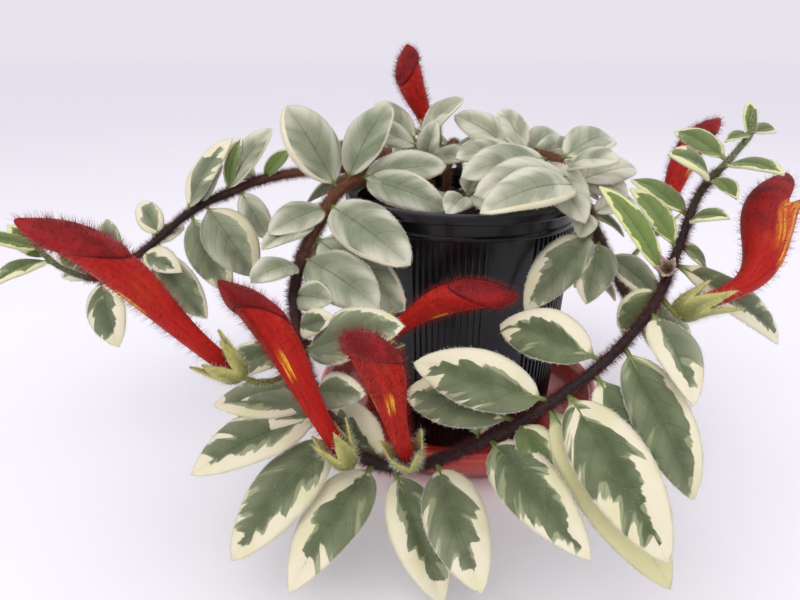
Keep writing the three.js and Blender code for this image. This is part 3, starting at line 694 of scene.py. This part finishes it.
def addHairs(name, piece, slot, hair, count, seed, lean=(0, 0, 0), within=None):
    chance = np.random.default_rng(seed)
    places, ways = scattered(piece, int(count), chance)
    if within:
        kept = within(places)
        places, ways = places[kept], ways[kept]
    ways = ways + chance.normal(0, hair["stray"], ways.shape) + np.array(lean)
    lengths = chance.uniform(*hair["lengths"], len(places))
    hairCoat(name, slot, hair["look"], hair["width"], places, ways, lengths)


def hairLook(name, shades, farShades=None):  # far shades are those of hairs well out from the pot
    paint = Paint(name)
    shade = paint.noise(900.0)
    colour = paint.layered(shades[0], (shade, shades[1]))
    if farShades:
        x, y, _ = paint.parts(paint.place())
        farOut = (x * x + y * y).ramp(0.062 ** 2, 0.085 ** 2)
        colour = paint.layered(colour, (farOut, paint.layered(farShades[0], (shade, farShades[1]))))
    return paint.finish(colour, 0.5, None, {"Specular IOR Level": 0.3})


marginHair = {"perMm": 6, "lengths": (0.6, 1.5), "width": 0.06, "stray": 0.35}


def leafMarginHairs(blade, key):
    chance = np.random.default_rng(int(key))
    count = int(blade.length * marginHair["perMm"])
    share = chance.uniform(0.12, 1.0, count)
    hand = chance.choice([-1.0, 1.0], count)
    roots = blade.points(share, hand * 0.985)
    inner = blade.points(np.clip(share - 0.03, 0, 1), hand * 0.86)
    ways = unit(roots - inner) + chance.normal(0, marginHair["stray"], (count, 3))
    return roots, ways, chance.uniform(*marginHair["lengths"], count)


# Stems
stemForm = {"step": 1.8, "sides": 5, "nodeSwell": 0.16, "nodeReach": 2.2, "point": 6, "greenFrom": 0.86}
petioleForm = {"reach": 0.14, "sunk": 0.35, "radii": (0.85, 0.45), "points": 5}


def stemLook():
    paint = Paint("hairy_stem_bark")
    distance, greenness, _ = paint.attribute("stemPlace")
    grain, blotch = paint.noise(420.0, 3.0), paint.noise(90.0)
    nearPot = 1.0 - distance.ramp(45.0, 100.0)
    colour = paint.layered(
        (12, 7, 5), (grain.ramp(0.3, 0.7), (36, 20, 14)),
        (blotch.ramp(0.55, 0.8) * 0.6, (70, 42, 26)),
        (nearPot * (0.5 + 0.5 * blotch), (136, 80, 44)), (greenness, (104, 118, 62)))
    return paint.finish(colour, 0.62, (grain, 0.3, 0.7), {"Sheen Weight": 0.1})


def petioleLook():
    paint = Paint("green_petiole")
    grain = paint.noise(600.0)
    colour = paint.layered((96, 112, 52), (grain.ramp(0.3, 0.7), (134, 142, 80)))
    return paint.finish(colour, 0.55, (grain, 0.15, 0.5))


def addTubes(name, lines):  # round tubes through points, each closed at both ends
    drawing = bpy.data.curves.new(name, "CURVE")
    drawing.dimensions = "3D"
    drawing.bevel_depth = mm
    drawing.bevel_resolution = stemForm["sides"]
    drawing.use_fill_caps = True
    for points, radii in lines:
        spline = drawing.splines.new("POLY")
        spline.points.add(len(points) - 1)
        for point, place, radius in zip(spline.points, points, radii):
            point.co = (*(place * mm), 1)
            point.radius = radius
    piece = bpy.data.objects.new(name, drawing)
    bpy.context.collection.objects.link(piece)
    onlySelect(piece)
    bpy.ops.object.convert(target="MESH")
    closeSheet(piece)
    return bpy.context.object


def addStem(name, stem, curve, rows):
    distances = np.linspace(0, curve.length, int(curve.length / stemForm["step"]) + 1)
    share = distances / curve.length
    start, end = stem["radii"]
    nodes = [np.exp(-((distances - row[0]) / stemForm["nodeReach"]) ** 2) for row in rows]
    radii = (start + (end - start) * share) * (1 + stemForm["nodeSwell"] * np.max(nodes, axis=0))
    radii = radii * np.clip((curve.length - distances) / stemForm["point"] + 0.3, 0.3, 1)
    points = np.array([curve.at(d) for d in distances])
    piece = addTubes(name, [(points, radii)])
    nearest = np.argmin(np.linalg.norm(pointsOf(piece)[:, None] / mm - points[None], axis=2), axis=1)
    greenFrom = stemForm["greenFrom"]
    greenness = np.clip((share[nearest] - greenFrom) / (1 - greenFrom), 0, 1)
    storeAttribute(piece, "stemPlace", distances[nearest], greenness, 0)
    return piece


def petioleLine(blade):  # from the stem to a little way up the blade's underside
    f = petioleForm
    ends = np.linspace(0, (blade.petiole + f["reach"] * blade.length) / blade.length, f["points"])
    line = blade.points(ends, np.zeros_like(ends)) - f["sunk"] * blade.face
    return line, np.linspace(*f["radii"], f["points"])


leafTop = leafLook("leaf_upper_side", False)
leafUnder = leafLook("leaf_lower_side", True)
bark = stemLook()
petioleGreen = petioleLook()
paleHair = hairLook("pale_leaf_hairs", ((222, 222, 200), (246, 245, 235)))
stemHair = hairLook(
    "red_brown_stem_hairs", ((104, 62, 40), (166, 118, 84)), ((64, 16, 19), (124, 46, 42)))
stemHairs = {"lengths": (0.9, 2.7), "width": 0.05, "stray": 0.25, "look": stemHair}
youngHairs = {"perMm": 40, "lengths": (0.6, 1.5), "width": 0.05, "stray": 0.3, "look": paleHair}
youngTip = {"longest": 26, "share": 0.12}
leafHairs = {"perLeaf": 90, "lengths": (0.3, 0.7), "width": 0.05, "stray": 0.3, "look": paleHair}
windowWay = unit(np.array([-0.1, -0.75, 0.75]))  # the way that the leaves in view face


def addLeafyStem(name, stem, number):
    curve = StemCurve(stem["path"])
    rows = stem.get("leaves") or pairsByRule(curve, stem["first"], 11 + number)
    blank = flatSheet("leaf_blank", leafForm["alongCuts"], leafForm["acrossCuts"])
    leaves, margins, petioles = [], [], []
    for place, row in enumerate(rows):
        key = (number + 1) * 100 + place
        base = curve.at(min(row[0], curve.length))
        toward = windowWay if "leaves" in stem else unit(np.array([base[0], base[1], 70]))
        silvery = row[0] < silveryUpTo.get(name, 0)
        blade = LeafBlade(base, row, key, toward, silvery)
        leaves.append(addLeaf(blank, blade, leafMarking(name, row, key, silvery), key))
        margins.append(leafMarginHairs(blade, key))
        petioles.append(petioleLine(blade))
    bpy.data.objects.remove(blank)
    foliage = joined(f"{name}_stem_leaves", leaves)
    foliage.data.materials.append(leafTop)
    foliage.data.materials.append(leafUnder)
    applyModifier(foliage, "SOLIDIFY", thickness=leafForm["thickness"] * mm, offset=-1,
                  material_offset=1, material_offset_rim=0)
    finished(foliage, node=f"{name}_stem")
    wood = addStem(f"{name}_stem_wood", stem, curve, rows)
    finished(wood, bark)
    finished(addTubes(f"{name}_stem_petioles", petioles), petioleGreen)
    margin = [np.concatenate(group) for group in zip(*margins)]
    hairCoat(f"{name}_leaf_fringe", "leafy_stem", paleHair, marginHair["width"], *margin)
    reach = min(youngTip["longest"], youngTip["share"] * curve.length)

    def isYoung(places):
        return np.linalg.norm(places - curve.at(curve.length), axis=1) < reach

    for kind, piece, hair, count, seed, within in (
            ("leaf_fuzz", foliage, leafHairs, leafHairs["perLeaf"] * len(rows), 20, None),
            ("stem_hairs", wood, stemHairs, stem["hairiness"] * curve.length, 40, lambda p: ~isYoung(p)),
            ("young_stem_hairs", wood, youngHairs, youngHairs["perMm"] * curve.length, 50, isYoung)):
        addHairs(f"{name}_{kind}", piece, "leafy_stem", hair, count, number + seed, within=within)
    return curve


curves = {name: addLeafyStem(name, stem, number) for number, (name, stem) in enumerate(stems.items())}
print("leafy stems made")


# Flowers. Closed profile: share of the length, half width, height above and depth below the
# middle, how far the ring leans back at its crest, and whether it is on the hood.
closedProfile = [
    (0, 2.1, 2.1, 2.1, 0, 0), (0.06, 2.5, 2.5, 2.5, 0, 0), (0.2, 2.7, 2.8, 2.8, 0, 0),
    (0.33, 3.3, 3.4, 3.6, 0.01, 0), (0.45, 4.3, 4.3, 4.6, 0.03, 0), (0.58, 5.9, 4.9, 5.4, 0.07, 0),
    (0.7, 6.8, 4.8, 5.2, 0.11, 0), (0.745, 6.8, 4.6, 4.9, 0.12, 0), (0.757, 6.5, 4.3, 4.6, 0.12, 0.5),
    (0.762, 7.1, 4.9, 5.2, 0.12, 1), (0.79, 7.4, 5.2, 5.3, 0.12, 1), (0.84, 6.7, 4.9, 4.2, 0.1, 1),
    (0.91, 5.0, 4.0, 2.8, 0.06, 1), (0.955, 3.1, 2.7, 1.9, 0.03, 1), (0.985, 1.5, 1.4, 1.2, 0.01, 1),
    (1.01, 0.5, 0.5, 0.5, 0, 1),
]
halfSection = [(0.31, 0.95), (0.81, 0.59), (1, 0), (0.81, -0.59), (0.31, -0.95)]
# Open tube: share, half width, height above and depth below
tubeProfile = [
    (0, 2.2, 2.2, 2.2), (0.06, 2.9, 2.9, 2.9), (0.17, 3, 3, 2.9), (0.27, 3.3, 3.4, 3), (0.36, 4.3, 4.2, 4.2),
    (0.45, 5.6, 5.6, 5.7), (0.54, 6.7, 7.4, 7.2), (0.62, 7.1, 8.6, 8),
]
# Its mouth, from the crest down one side: hood, hood, slit and lower lip
mouthCorners = [
    [(0.71, 2.8, 8), (0.71, 6.9, 3.4), (0.66, 7.1, -1.2), (0.69, 3.2, -8.4)],
    [(0.81, 2.6, 6.6), (0.8, 6.4, 1.4), (0.685, 7, -1.5), (0.78, 2.9, -8.3)],
    [(0.92, 1.8, 4), (0.88, 5.2, -1.4), (0.695, 6.9, -1.6), (0.85, 2.1, -8.2)],
    [(1, 0.9, 0.9), (0.93, 3.4, -4.4), (0.7, 6.8, -1.7), (0.9, 1.2, -7.9)],
]
flowerForm = {"arch": 0.64, "rise": 2.5, "tubeSides": 8, "fullness": 1.05, "petal": 0.8}
pedicelForm = {"radius": 0.9, "clear": 0.2, "bow": 0.4, "short": 1.2, "points": 9}
calyxForm = {
    "cup": 3.6, "lobe": 11.8, "lean": 3.0, "lobes": 5, "thickness": 0.7, "gap": 0.35, "foot": 2.2,
    "inner": 3, "up": 14, "around": 60,
}
flowerColours = {
    "scarlet": (182, 24, 10), "deep": (154, 15, 8), "hood": (116, 9, 12),
    # crease is a painted shade for the groove at a closed hood's edge
    "hoodLight": (154, 22, 24), "crease": (62, 4, 8), "orange": (208, 78, 18),
    "yellow": (232, 178, 48), "inside": (238, 216, 168),
}


class FlowerFrame:
    def __init__(self, flower):
        self.base = np.array(flower["base"], float)
        span = np.array(flower["tip"], float) - self.base
        self.length = np.linalg.norm(span)
        self.along = span / self.length
        self.side, self.face = frameAlong(self.along, (0, 0, 1), flower.get("roll", 0))
        self.arch = flower.get("arch", flowerForm["arch"])
        self.rise = flower.get("rise", flowerForm["rise"])
        self.sag = flower.get("sag", 0)

    def at(self, share, across, height):
        inside = min(max(share, 0), 1)
        lift = self.arch * inside ** self.rise * (1 - inside) - self.sag * inside ** 2 * (1 - inside) ** 3.5
        return (self.base + self.along * share * self.length
                + self.side * across + self.face * (height + lift * self.length))


def smoothCage(name, rings, marks):  # a closed cage of rings, with a row of marks for each point
    count = len(rings[0])
    cage = flatSheet(name, len(rings) - 1, count)
    share, across, _ = pointsOf(cage).T
    ring = np.rint(share * (len(rings) - 1)).astype(int)
    corner = np.rint((across + 1) / 2 * count).astype(int) % count
    storeAttribute(cage, "flowerPlace", *np.array(marks)[ring, corner].T)
    movePoints(cage, np.array(rings)[ring, corner] * mm)
    closeSheet(cage, fillEnds=True)
    applyModifier(cage, "SUBSURF", levels=2, render_levels=2)
    return cage


def closedCorolla(name, place):
    full = flowerForm["fullness"]
    section = halfSection + [(-across, height) for across, height in reversed(halfSection)]
    rings, marks = [], []
    for share, halfWidth, above, below, lean, hood in closedProfile:
        rings.append([
            place.at(share - lean * height, across * halfWidth * full,
                     height * (above if height > 0 else below) * full)
            for across, height in section])
        marks.append([(share, height, hood) for _, height in section])
    return smoothCage(name, rings, marks)


def openCorolla(name, place):
    full, sides, petal = flowerForm["fullness"], flowerForm["tubeSides"], flowerForm["petal"]
    angles = [2 * math.pi * (k + 0.5) / sides for k in range(sides)]

    def tubeRing(spot, inset):
        share, halfWidth, above, below = spot
        ring = []
        for angle in angles:
            reach = (above if angle < math.pi else below) * full - inset
            across = (halfWidth * full - inset) * math.cos(angle)
            ring.append(place.at(share, across, reach * math.sin(angle)))
        return ring

    def mouthRing(corners, inset):
        ring = []
        for hand, number in ((1, 1), (1, 0), (-1, 0), (-1, 1), (-1, 2), (-1, 3), (1, 3), (1, 2)):
            share, across, height = corners[number]
            shrink = full - inset / math.hypot(across, height)
            ring.append(place.at(share, hand * across * shrink, height * shrink))
        return ring

    rings = [tubeRing(spot, 0) for spot in tubeProfile]
    rings += [mouthRing(corners, 0) for corners in mouthCorners]
    rings += [mouthRing(corners, petal) for corners in reversed(mouthCorners)]
    rings += [tubeRing(spot, petal) for spot in reversed(tubeProfile[4:])]
    outerShares = [spot[0] for spot in tubeProfile] + [0.71, 0.8, 0.9, 1]
    hoodCorner = [1, 1, 1, 1, 0.3, 0.3, 0.3, 0.3]
    insideTone = -2
    marks = []
    for number, share in enumerate(outerShares + outerShares[:3:-1]):
        hoodness = min(max((share - 0.5) * 8, 0), 1)
        tones = [-h * hoodness if number < len(outerShares) else insideTone for h in hoodCorner]
        marks.append([(share, math.sin(angle), tone) for angle, tone in zip(angles, tones)])
    return smoothCage(name, rings, marks)


def corollaLook():
    paint = Paint("scarlet_corolla", flowerColours)
    share, height, tone = paint.attribute("flowerPlace")
    hood, opened = abs(tone).clamped(), 0.0 - tone
    nap, cloud, wrinkle = paint.noise(1400.0), paint.noise(160.0), paint.noise(420.0, 3.0)
    streak = paint.pattern(share * 4.0, height * 8.0, 0.0, 3.0)
    cap = paint.layered("hood", (cloud.ramp(0.35, 0.7), "hoodLight"))
    # painted shade: the crease at the edge of a closed hood is darkened
    crease = tone.ramp(0.05, 0.45) * (1.0 - tone.ramp(0.6, 0.97))
    # the lower lip of an open flower is orange, with longer streaks
    lip = opened.ramp(0.02, 0.2) * (1.0 - opened.ramp(0.35, 0.6)) * (1.0 - height.ramp(-0.5, 0.1))
    # a few yellow streaks on either side of the belly
    belly = height.ramp(-0.95, -0.88) * (1.0 - height.ramp(-0.68, -0.48))
    throat = share.ramp(0.42, 0.47) * (1.0 - share.ramp(0.52, 0.58)) * belly * (1.0 - hood)
    colour = paint.layered(
        "deep", (streak.ramp(0.3, 0.6), "scarlet"),
        (cloud.ramp(0.45, 0.8) * 0.3 * share.ramp(0.2, 0.6), "orange"), (hood, cap),
        (crease * 0.8, "crease"), (lip * 0.75, "orange"), (lip * streak.ramp(0.42, 0.66) * 0.8, "yellow"),
        (throat * streak.ramp(0.34, 0.5), "orange"), (throat * streak.ramp(0.48, 0.56), "yellow"),
        (opened.ramp(1.05, 1.4), "inside"))
    relief = nap * 0.3 + streak * 0.35 + wrinkle * hood * 1.5
    return paint.finish(colour, 0.45 + 0.2 * nap, (relief, 0.35, 0.7), {
        "Specular IOR Level": 0.22, "Sheen Weight": 0.12, "Sheen Roughness": 0.4,
        "Sheen Tint": srgb(240, 170, 160)})


def addCalyx(name, place, size=1.0):  # a cup that runs out into pointed lobes
    f = calyxForm
    cup = flatSheet(name, f["up"], f["around"])
    share, across, _ = pointsOf(cup).T
    turn = (across + 1) * math.pi
    halfLobe = math.pi / f["lobes"]
    offLobe = np.abs((turn - 0.3 * math.pi + halfLobe) % (2 * halfLobe) - halfLobe) / halfLobe
    tooth = np.clip(1 - offLobe, 0, 1) ** 1.15
    height = f["cup"] + (f["lobe"] - f["cup"]) * tooth + 2 * np.sin(turn * 15) * tooth * (1 - tooth)
    rise = (height + f["foot"]) * share - f["foot"]
    inner = f["inner"] + f["gap"]
    flare = inner + 0.8 + f["lean"] * np.clip(rise / f["lobe"], 0, 1) ** 1.3
    underneath = 1.3 + (inner - 0.55) * np.clip((rise + f["foot"]) / 2.6, 0, 1) ** 0.6
    radius = np.where(rise < 0.4, underneath, flare)
    points = [place.at(r * size / place.length, q * size * math.cos(t), q * size * math.sin(t))
              for r, q, t in zip(rise, radius, turn)]
    storeAttribute(cup, "flowerPlace", share, tooth, 0)
    movePoints(cup, np.array(points) * mm)
    closeSheet(cup)
    applyModifier(cup, "SOLIDIFY", thickness=f["thickness"] * mm, offset=-1)
    return cup


def calyxLook(name, foot, lobe, vein):
    paint = Paint(name)
    share = paint.attribute("flowerPlace")[0]
    fibre = paint.noise(700.0)
    colour = paint.layered(foot, (share.ramp(0.1, 0.9), lobe), (fibre.ramp(0.45, 0.7) * 0.5, vein))
    return paint.finish(colour, 0.6, (fibre, 0.2, 0.6), {"Sheen Weight": 0.1})


scarlet = corollaLook()
calyxGreen = calyxLook("green_calyx", (108, 112, 42), (192, 186, 104), (124, 126, 52))
flowerHair = hairLook("dark_red_flower_hairs", ((112, 12, 16), (176, 52, 46)))
calyxHair = hairLook("pale_calyx_hairs", ((206, 208, 168), (240, 240, 220)))
corollaHairs = {"count": 2600, "lengths": (1.0, 3.2), "width": 0.045, "stray": 0.25, "look": flowerHair}
calyxHairs = {"count": 1600, "lengths": (0.9, 2.3), "width": 0.045, "stray": 0.25, "look": calyxHair}


def pedicelLine(place, flower):  # from the stem's surface, in a bow, into the foot of the corolla
    curve, at = curves[flower["stem"]], flower["at"]
    start, end = stems[flower["stem"]]["radii"]
    along, outward = curve.along(at), place.base - curve.at(at)
    outward = unit(outward - along * outward.dot(along))
    foot = curve.at(at) + outward * (start + (end - start) * at / curve.length + pedicelForm["clear"])
    bend = place.at(-pedicelForm["bow"] * np.linalg.norm(foot - place.base) / place.length, 0, 0)
    last = place.at(-pedicelForm["short"] / place.length, 0, 0)
    steps = np.linspace(0, 1, pedicelForm["points"])[:, None]
    line = (1 - steps) ** 2 * foot + 2 * steps * (1 - steps) * bend + steps ** 2 * last
    return line, np.full(len(line), pedicelForm["radius"])


def addFlower(name, flower, number):
    place = FlowerFrame(flower)
    make = openCorolla if flower.get("open") else closedCorolla
    corolla = make(f"flower_{name}_corolla", place)
    finished(corolla, scarlet, f"corolla_{name}")
    calyx = addCalyx(f"flower_{name}_calyx", place)
    stalk = addTubes("pedicel", [pedicelLine(place, flower)])
    green = joined(f"flower_{name}_calyx", [calyx, stalk])
    finished(green, calyxGreen, f"calyx_{name}")
    for kind, piece, slot, hair, seed, lean in (
            ("hairs", corolla, "corolla", corollaHairs, 60, 0.35),
            ("calyx_hairs", green, "calyx", calyxHairs, 70, 0.4)):
        addHairs(
            f"flower_{name}_{kind}", piece, slot, hair, hair["count"], seed + number, lean * place.along)


for number, (name, flower) in enumerate(flowers.items()):
    addFlower(name, flower, number)


# A calyx that has dried on the front stem after its flower fell
driedCalyx = {"at": 288, "way": (-0.5, -0.7, 0.5), "clear": 2.6, "size": 0.5}


def addDriedCalyx():
    way = unit(np.array(driedCalyx["way"]))
    base = curves["front"].at(driedCalyx["at"]) + driedCalyx["clear"] * way
    place = FlowerFrame({"base": base, "tip": base + 40 * way, "arch": 0})
    dried = addCalyx("front_stem_dried_calyx", place, driedCalyx["size"])
    look = calyxLook("dried_calyx", (134, 100, 84), (196, 172, 156), (110, 78, 66))
    finished(dried, look)


addDriedCalyx()
print("flowers made")


# Pot
potForm = {
    "footZ": 4, "rimZ": 106, "rimRadius": 50, "topRadius": 47.6, "bottomRadius": 42, "wall": 1.6,
    "lip": 4.4, "collar": 6, "groups": 6, "ribsInGroup": 12, "ribbedShare": 0.62, "ribDepth": 0.7,
    "floor": 2.4, "drainHoles": 6, "drainCircle": 26, "drainRadius": 4,
}
collarZ = potForm["rimZ"] - potForm["lip"] - potForm["collar"]
potFloorZ = potForm["footZ"] + potForm["floor"]


def potRadius(z):
    share = (z - potForm["footZ"]) / (collarZ - potForm["footZ"])
    return potForm["bottomRadius"] + (potForm["topRadius"] - 1 - potForm["bottomRadius"]) * share


def blackPlasticLook():
    paint = Paint("black_pot_plastic")
    speck = paint.noise(1800.0)
    dust = paint.noise(60.0, 3.0, paint.place((1, 1, 0.25))).ramp(0.5, 0.8)
    height = paint.parts(paint.place())[2]
    # painted highlight: the band at the top of the lip is lighter, as if catching the light, patchy with the
    # dust
    paintedLipHighlight = height.ramp(0.1045, 0.106) * (0.4 + 0.6 * dust)
    colour = paint.layered((4, 3, 4), (dust * 0.3, (24, 22, 26)), (paintedLipHighlight * 0.8, (84, 84, 88)))
    return paint.finish(
        colour, 0.3 + 0.2 * dust, (speck, 0.1, 0.4), {"Specular IOR Level": 0.3, "Coat Weight": 0.1})


def addPotBody():
    f = potForm
    foot, bottom, rimZ, rim, top = f["footZ"], f["bottomRadius"], f["rimZ"], f["rimRadius"], f["topRadius"]
    lipZ, inside = rimZ - f["lip"], top - 1 - f["wall"]
    body = spun("pot_body", [
        (0, foot + 0.8), (bottom - 5, foot + 0.8), (bottom - 4, foot), (bottom - 0.5, foot),
        (bottom, foot + 0.5), (potRadius(collarZ) - 0.1, collarZ - 0.6), (top - 0.3, collarZ - 0.5),
        (top, collarZ - 0.1), (top, collarZ + 0.9), (top - 0.7, collarZ + 1.7), (top - 0.7, lipZ + 0.1),
        (rim - 0.3, lipZ + 0.3), (rim, lipZ + 0.7), (rim, rimZ - 1.2), (rim - 0.35, rimZ - 0.35),
        (rim - 1.2, rimZ), (rim - 2.2, rimZ - 0.4), (inside, rimZ - 3), (inside, collarZ),
        (bottom - f["wall"], potFloorZ), (0, potFloorZ),
    ], 144)
    drills = []
    for number in range(f["drainHoles"]):
        angle = 2 * math.pi * number / f["drainHoles"]
        x, y = f["drainCircle"] * math.cos(angle), f["drainCircle"] * math.sin(angle)
        drills.append(added(
            "drill", bpy.ops.mesh.primitive_cylinder_add, vertices=24, radius=f["drainRadius"] * mm,
            depth=3 * f["floor"] * mm, location=(x * mm, y * mm, potFloorZ * mm)))
    drill = joined("drills", drills)
    applyModifier(body, "BOOLEAN", operation="DIFFERENCE", object=drill)
    bpy.data.objects.remove(drill)
    shadeSmooth(body, 35)
    return body


def addRibs():  # one rib, then its copies round the wall in groups
    f = potForm
    rib = added("rib", bpy.ops.mesh.primitive_cube_add, size=1)
    applyModifier(rib, "BEVEL", width=0.2, segments=2, limit_method="NONE")
    out, across, up = pointsOf(rib).T
    low, high = f["footZ"] + 0.6, collarZ - 0.4
    z = low + (up + 0.5) * (high - low)
    radius = potRadius(z) + out * 2 * f["ribDepth"] * 0.95
    pitch = 2 * math.pi / f["groups"] * f["ribbedShare"] / f["ribsInGroup"]
    ribs = []
    for group in range(f["groups"]):
        for place in range(f["ribsInGroup"]):
            turn = 2 * math.pi / f["groups"] * group + pitch * (place + 0.35) + across * pitch * 0.5
            copy = copyOf(rib)
            movePoints(copy, np.stack([radius * np.cos(turn), radius * np.sin(turn), z], 1) * mm)
            ribs.append(copy)
    bpy.data.objects.remove(rib)
    comb = joined("pot_ribs", ribs)
    shadeSmooth(comb, 40)
    return comb


pot = joined("pot_shell", [addPotBody(), addRibs()])
finished(pot, blackPlasticLook(), "pot", smooth=0)


# Saucer
saucerForm = {"radius": 65, "height": 16, "floor": 3.7, "wall": 4.6}


def saucerLook():
    paint = Paint("glossy_red_saucer")
    cloud = paint.noise(45.0, 3.0)
    grit = paint.noise(900.0)
    colour = paint.layered((168, 44, 34), (cloud, (196, 62, 48)))
    return paint.finish(
        colour, 0.16 + 0.12 * cloud, (grit, 0.06, 0.4), {"Coat Weight": 0.4, "Coat Roughness": 0.08})


def addSaucer():
    outer, top, floor = saucerForm["radius"], saucerForm["height"], saucerForm["floor"]
    inner = outer - saucerForm["wall"]
    saucer = spun("saucer_dish", [
        (0, 0), (50, 0), (50.8, 0.8), (52.2, 0.8), (53, 0), (55.6, 0), (56.6, 0.2), (58, 1),
        (outer - 1.2, top - 6.2), (outer - 0.3, top - 4.2), (outer, top - 2.8), (outer - 0.3, top - 1.5),
        (outer - 1.1, top - 0.5), (outer - 2.4, top), (outer - 3.6, top - 0.3), (inner + 0.1, top - 1.4),
        (inner - 1, top - 4.6), (inner - 3.4, floor + 1.6), (inner - 4.2, floor + 0.5), (inner - 5.4, floor),
        (0, floor),
    ], 128)
    finished(saucer, saucerLook(), "saucer", smooth=50)


addSaucer()


# Potting mix, with bits of bark and perlite on it
mixForm = {"topZ": 98, "unevenness": 0.7}
mixBits = {
    "bark": {"count": 150, "size": 2.4, "flat": 0.45, "dark": (52, 34, 24), "light": (116, 84, 58)},
    "perlite": {"count": 60, "size": 1.3, "flat": 0.8, "dark": (205, 200, 190),
                "light": (240, 238, 232)},
}


def mixLook(name, dark, light, scale):
    paint = Paint(name)
    fibre = paint.noise(scale, 4.0, paint.place((1, 1, 2)), 0.6)
    return paint.finish(paint.layered(dark, (fibre.ramp(0.35, 0.7), light)), 0.92, (fibre, 0.8, 0.8))


def addBits(kind, bits, reach, chance):
    grain = added("grain", bpy.ops.mesh.primitive_ico_sphere_add, subdivisions=1, radius=1)
    shape = pointsOf(grain)
    pieces = []
    for _ in range(bits["count"]):
        angle, out = chance.uniform(0, 2 * math.pi), reach * math.sqrt(chance.uniform(0, 1))
        lumpy = shape * (1 + chance.uniform(-0.25, 0.25, (len(shape), 1)))
        width, turn = bits["size"] * chance.uniform(0.6, 1.2), chance.uniform(0, 2 * math.pi)
        x, y, z = (lumpy * width * np.array([1.4, 0.8, bits["flat"]])).T
        cosine, sine = math.cos(turn), math.sin(turn)
        turned = np.stack([x * cosine - y * sine, x * sine + y * cosine, z], 1)
        centre = np.array([out * math.cos(angle), out * math.sin(angle), mixForm["topZ"] - 0.4])
        copy = copyOf(grain)
        movePoints(copy, (turned + centre) * mm)
        pieces.append(copy)
    bpy.data.objects.remove(grain)
    look = mixLook(f"{kind}_bits", bits["dark"], bits["light"], 900.0)
    finished(joined(f"mix_{kind}", pieces), look, smooth=0)


def addMix():
    wall, z = potForm["wall"] + 0.5, mixForm["topZ"]
    bottom, top = potFloorZ + 0.4, potForm["topRadius"] - 1 - wall
    profile = [(0, bottom), (potForm["bottomRadius"] - wall, bottom), (top - 0.2, z - 3)]
    profile += [(top * share, z - 1.2 * share) for share in (0.97, 0.88, 0.75, 0.6, 0.45, 0.3, 0.15, 0)]
    heap = spun("mix_heap", profile, 72)
    points = pointsOf(heap) / mm
    chance = np.random.default_rng(5)
    surface = points[:, 2] > z - 2.5
    points[surface, 2] += chance.uniform(-mixForm["unevenness"], mixForm["unevenness"], surface.sum())
    movePoints(heap, points * mm)
    look = mixLook("dark_potting_mix", (34, 24, 18), (86, 62, 44), 500.0)
    finished(heap, look, "potting_mix")
    for kind, bits in mixBits.items():
        addBits(kind, bits, top - 3, chance)


addMix()
print("pot, saucer and mix made")
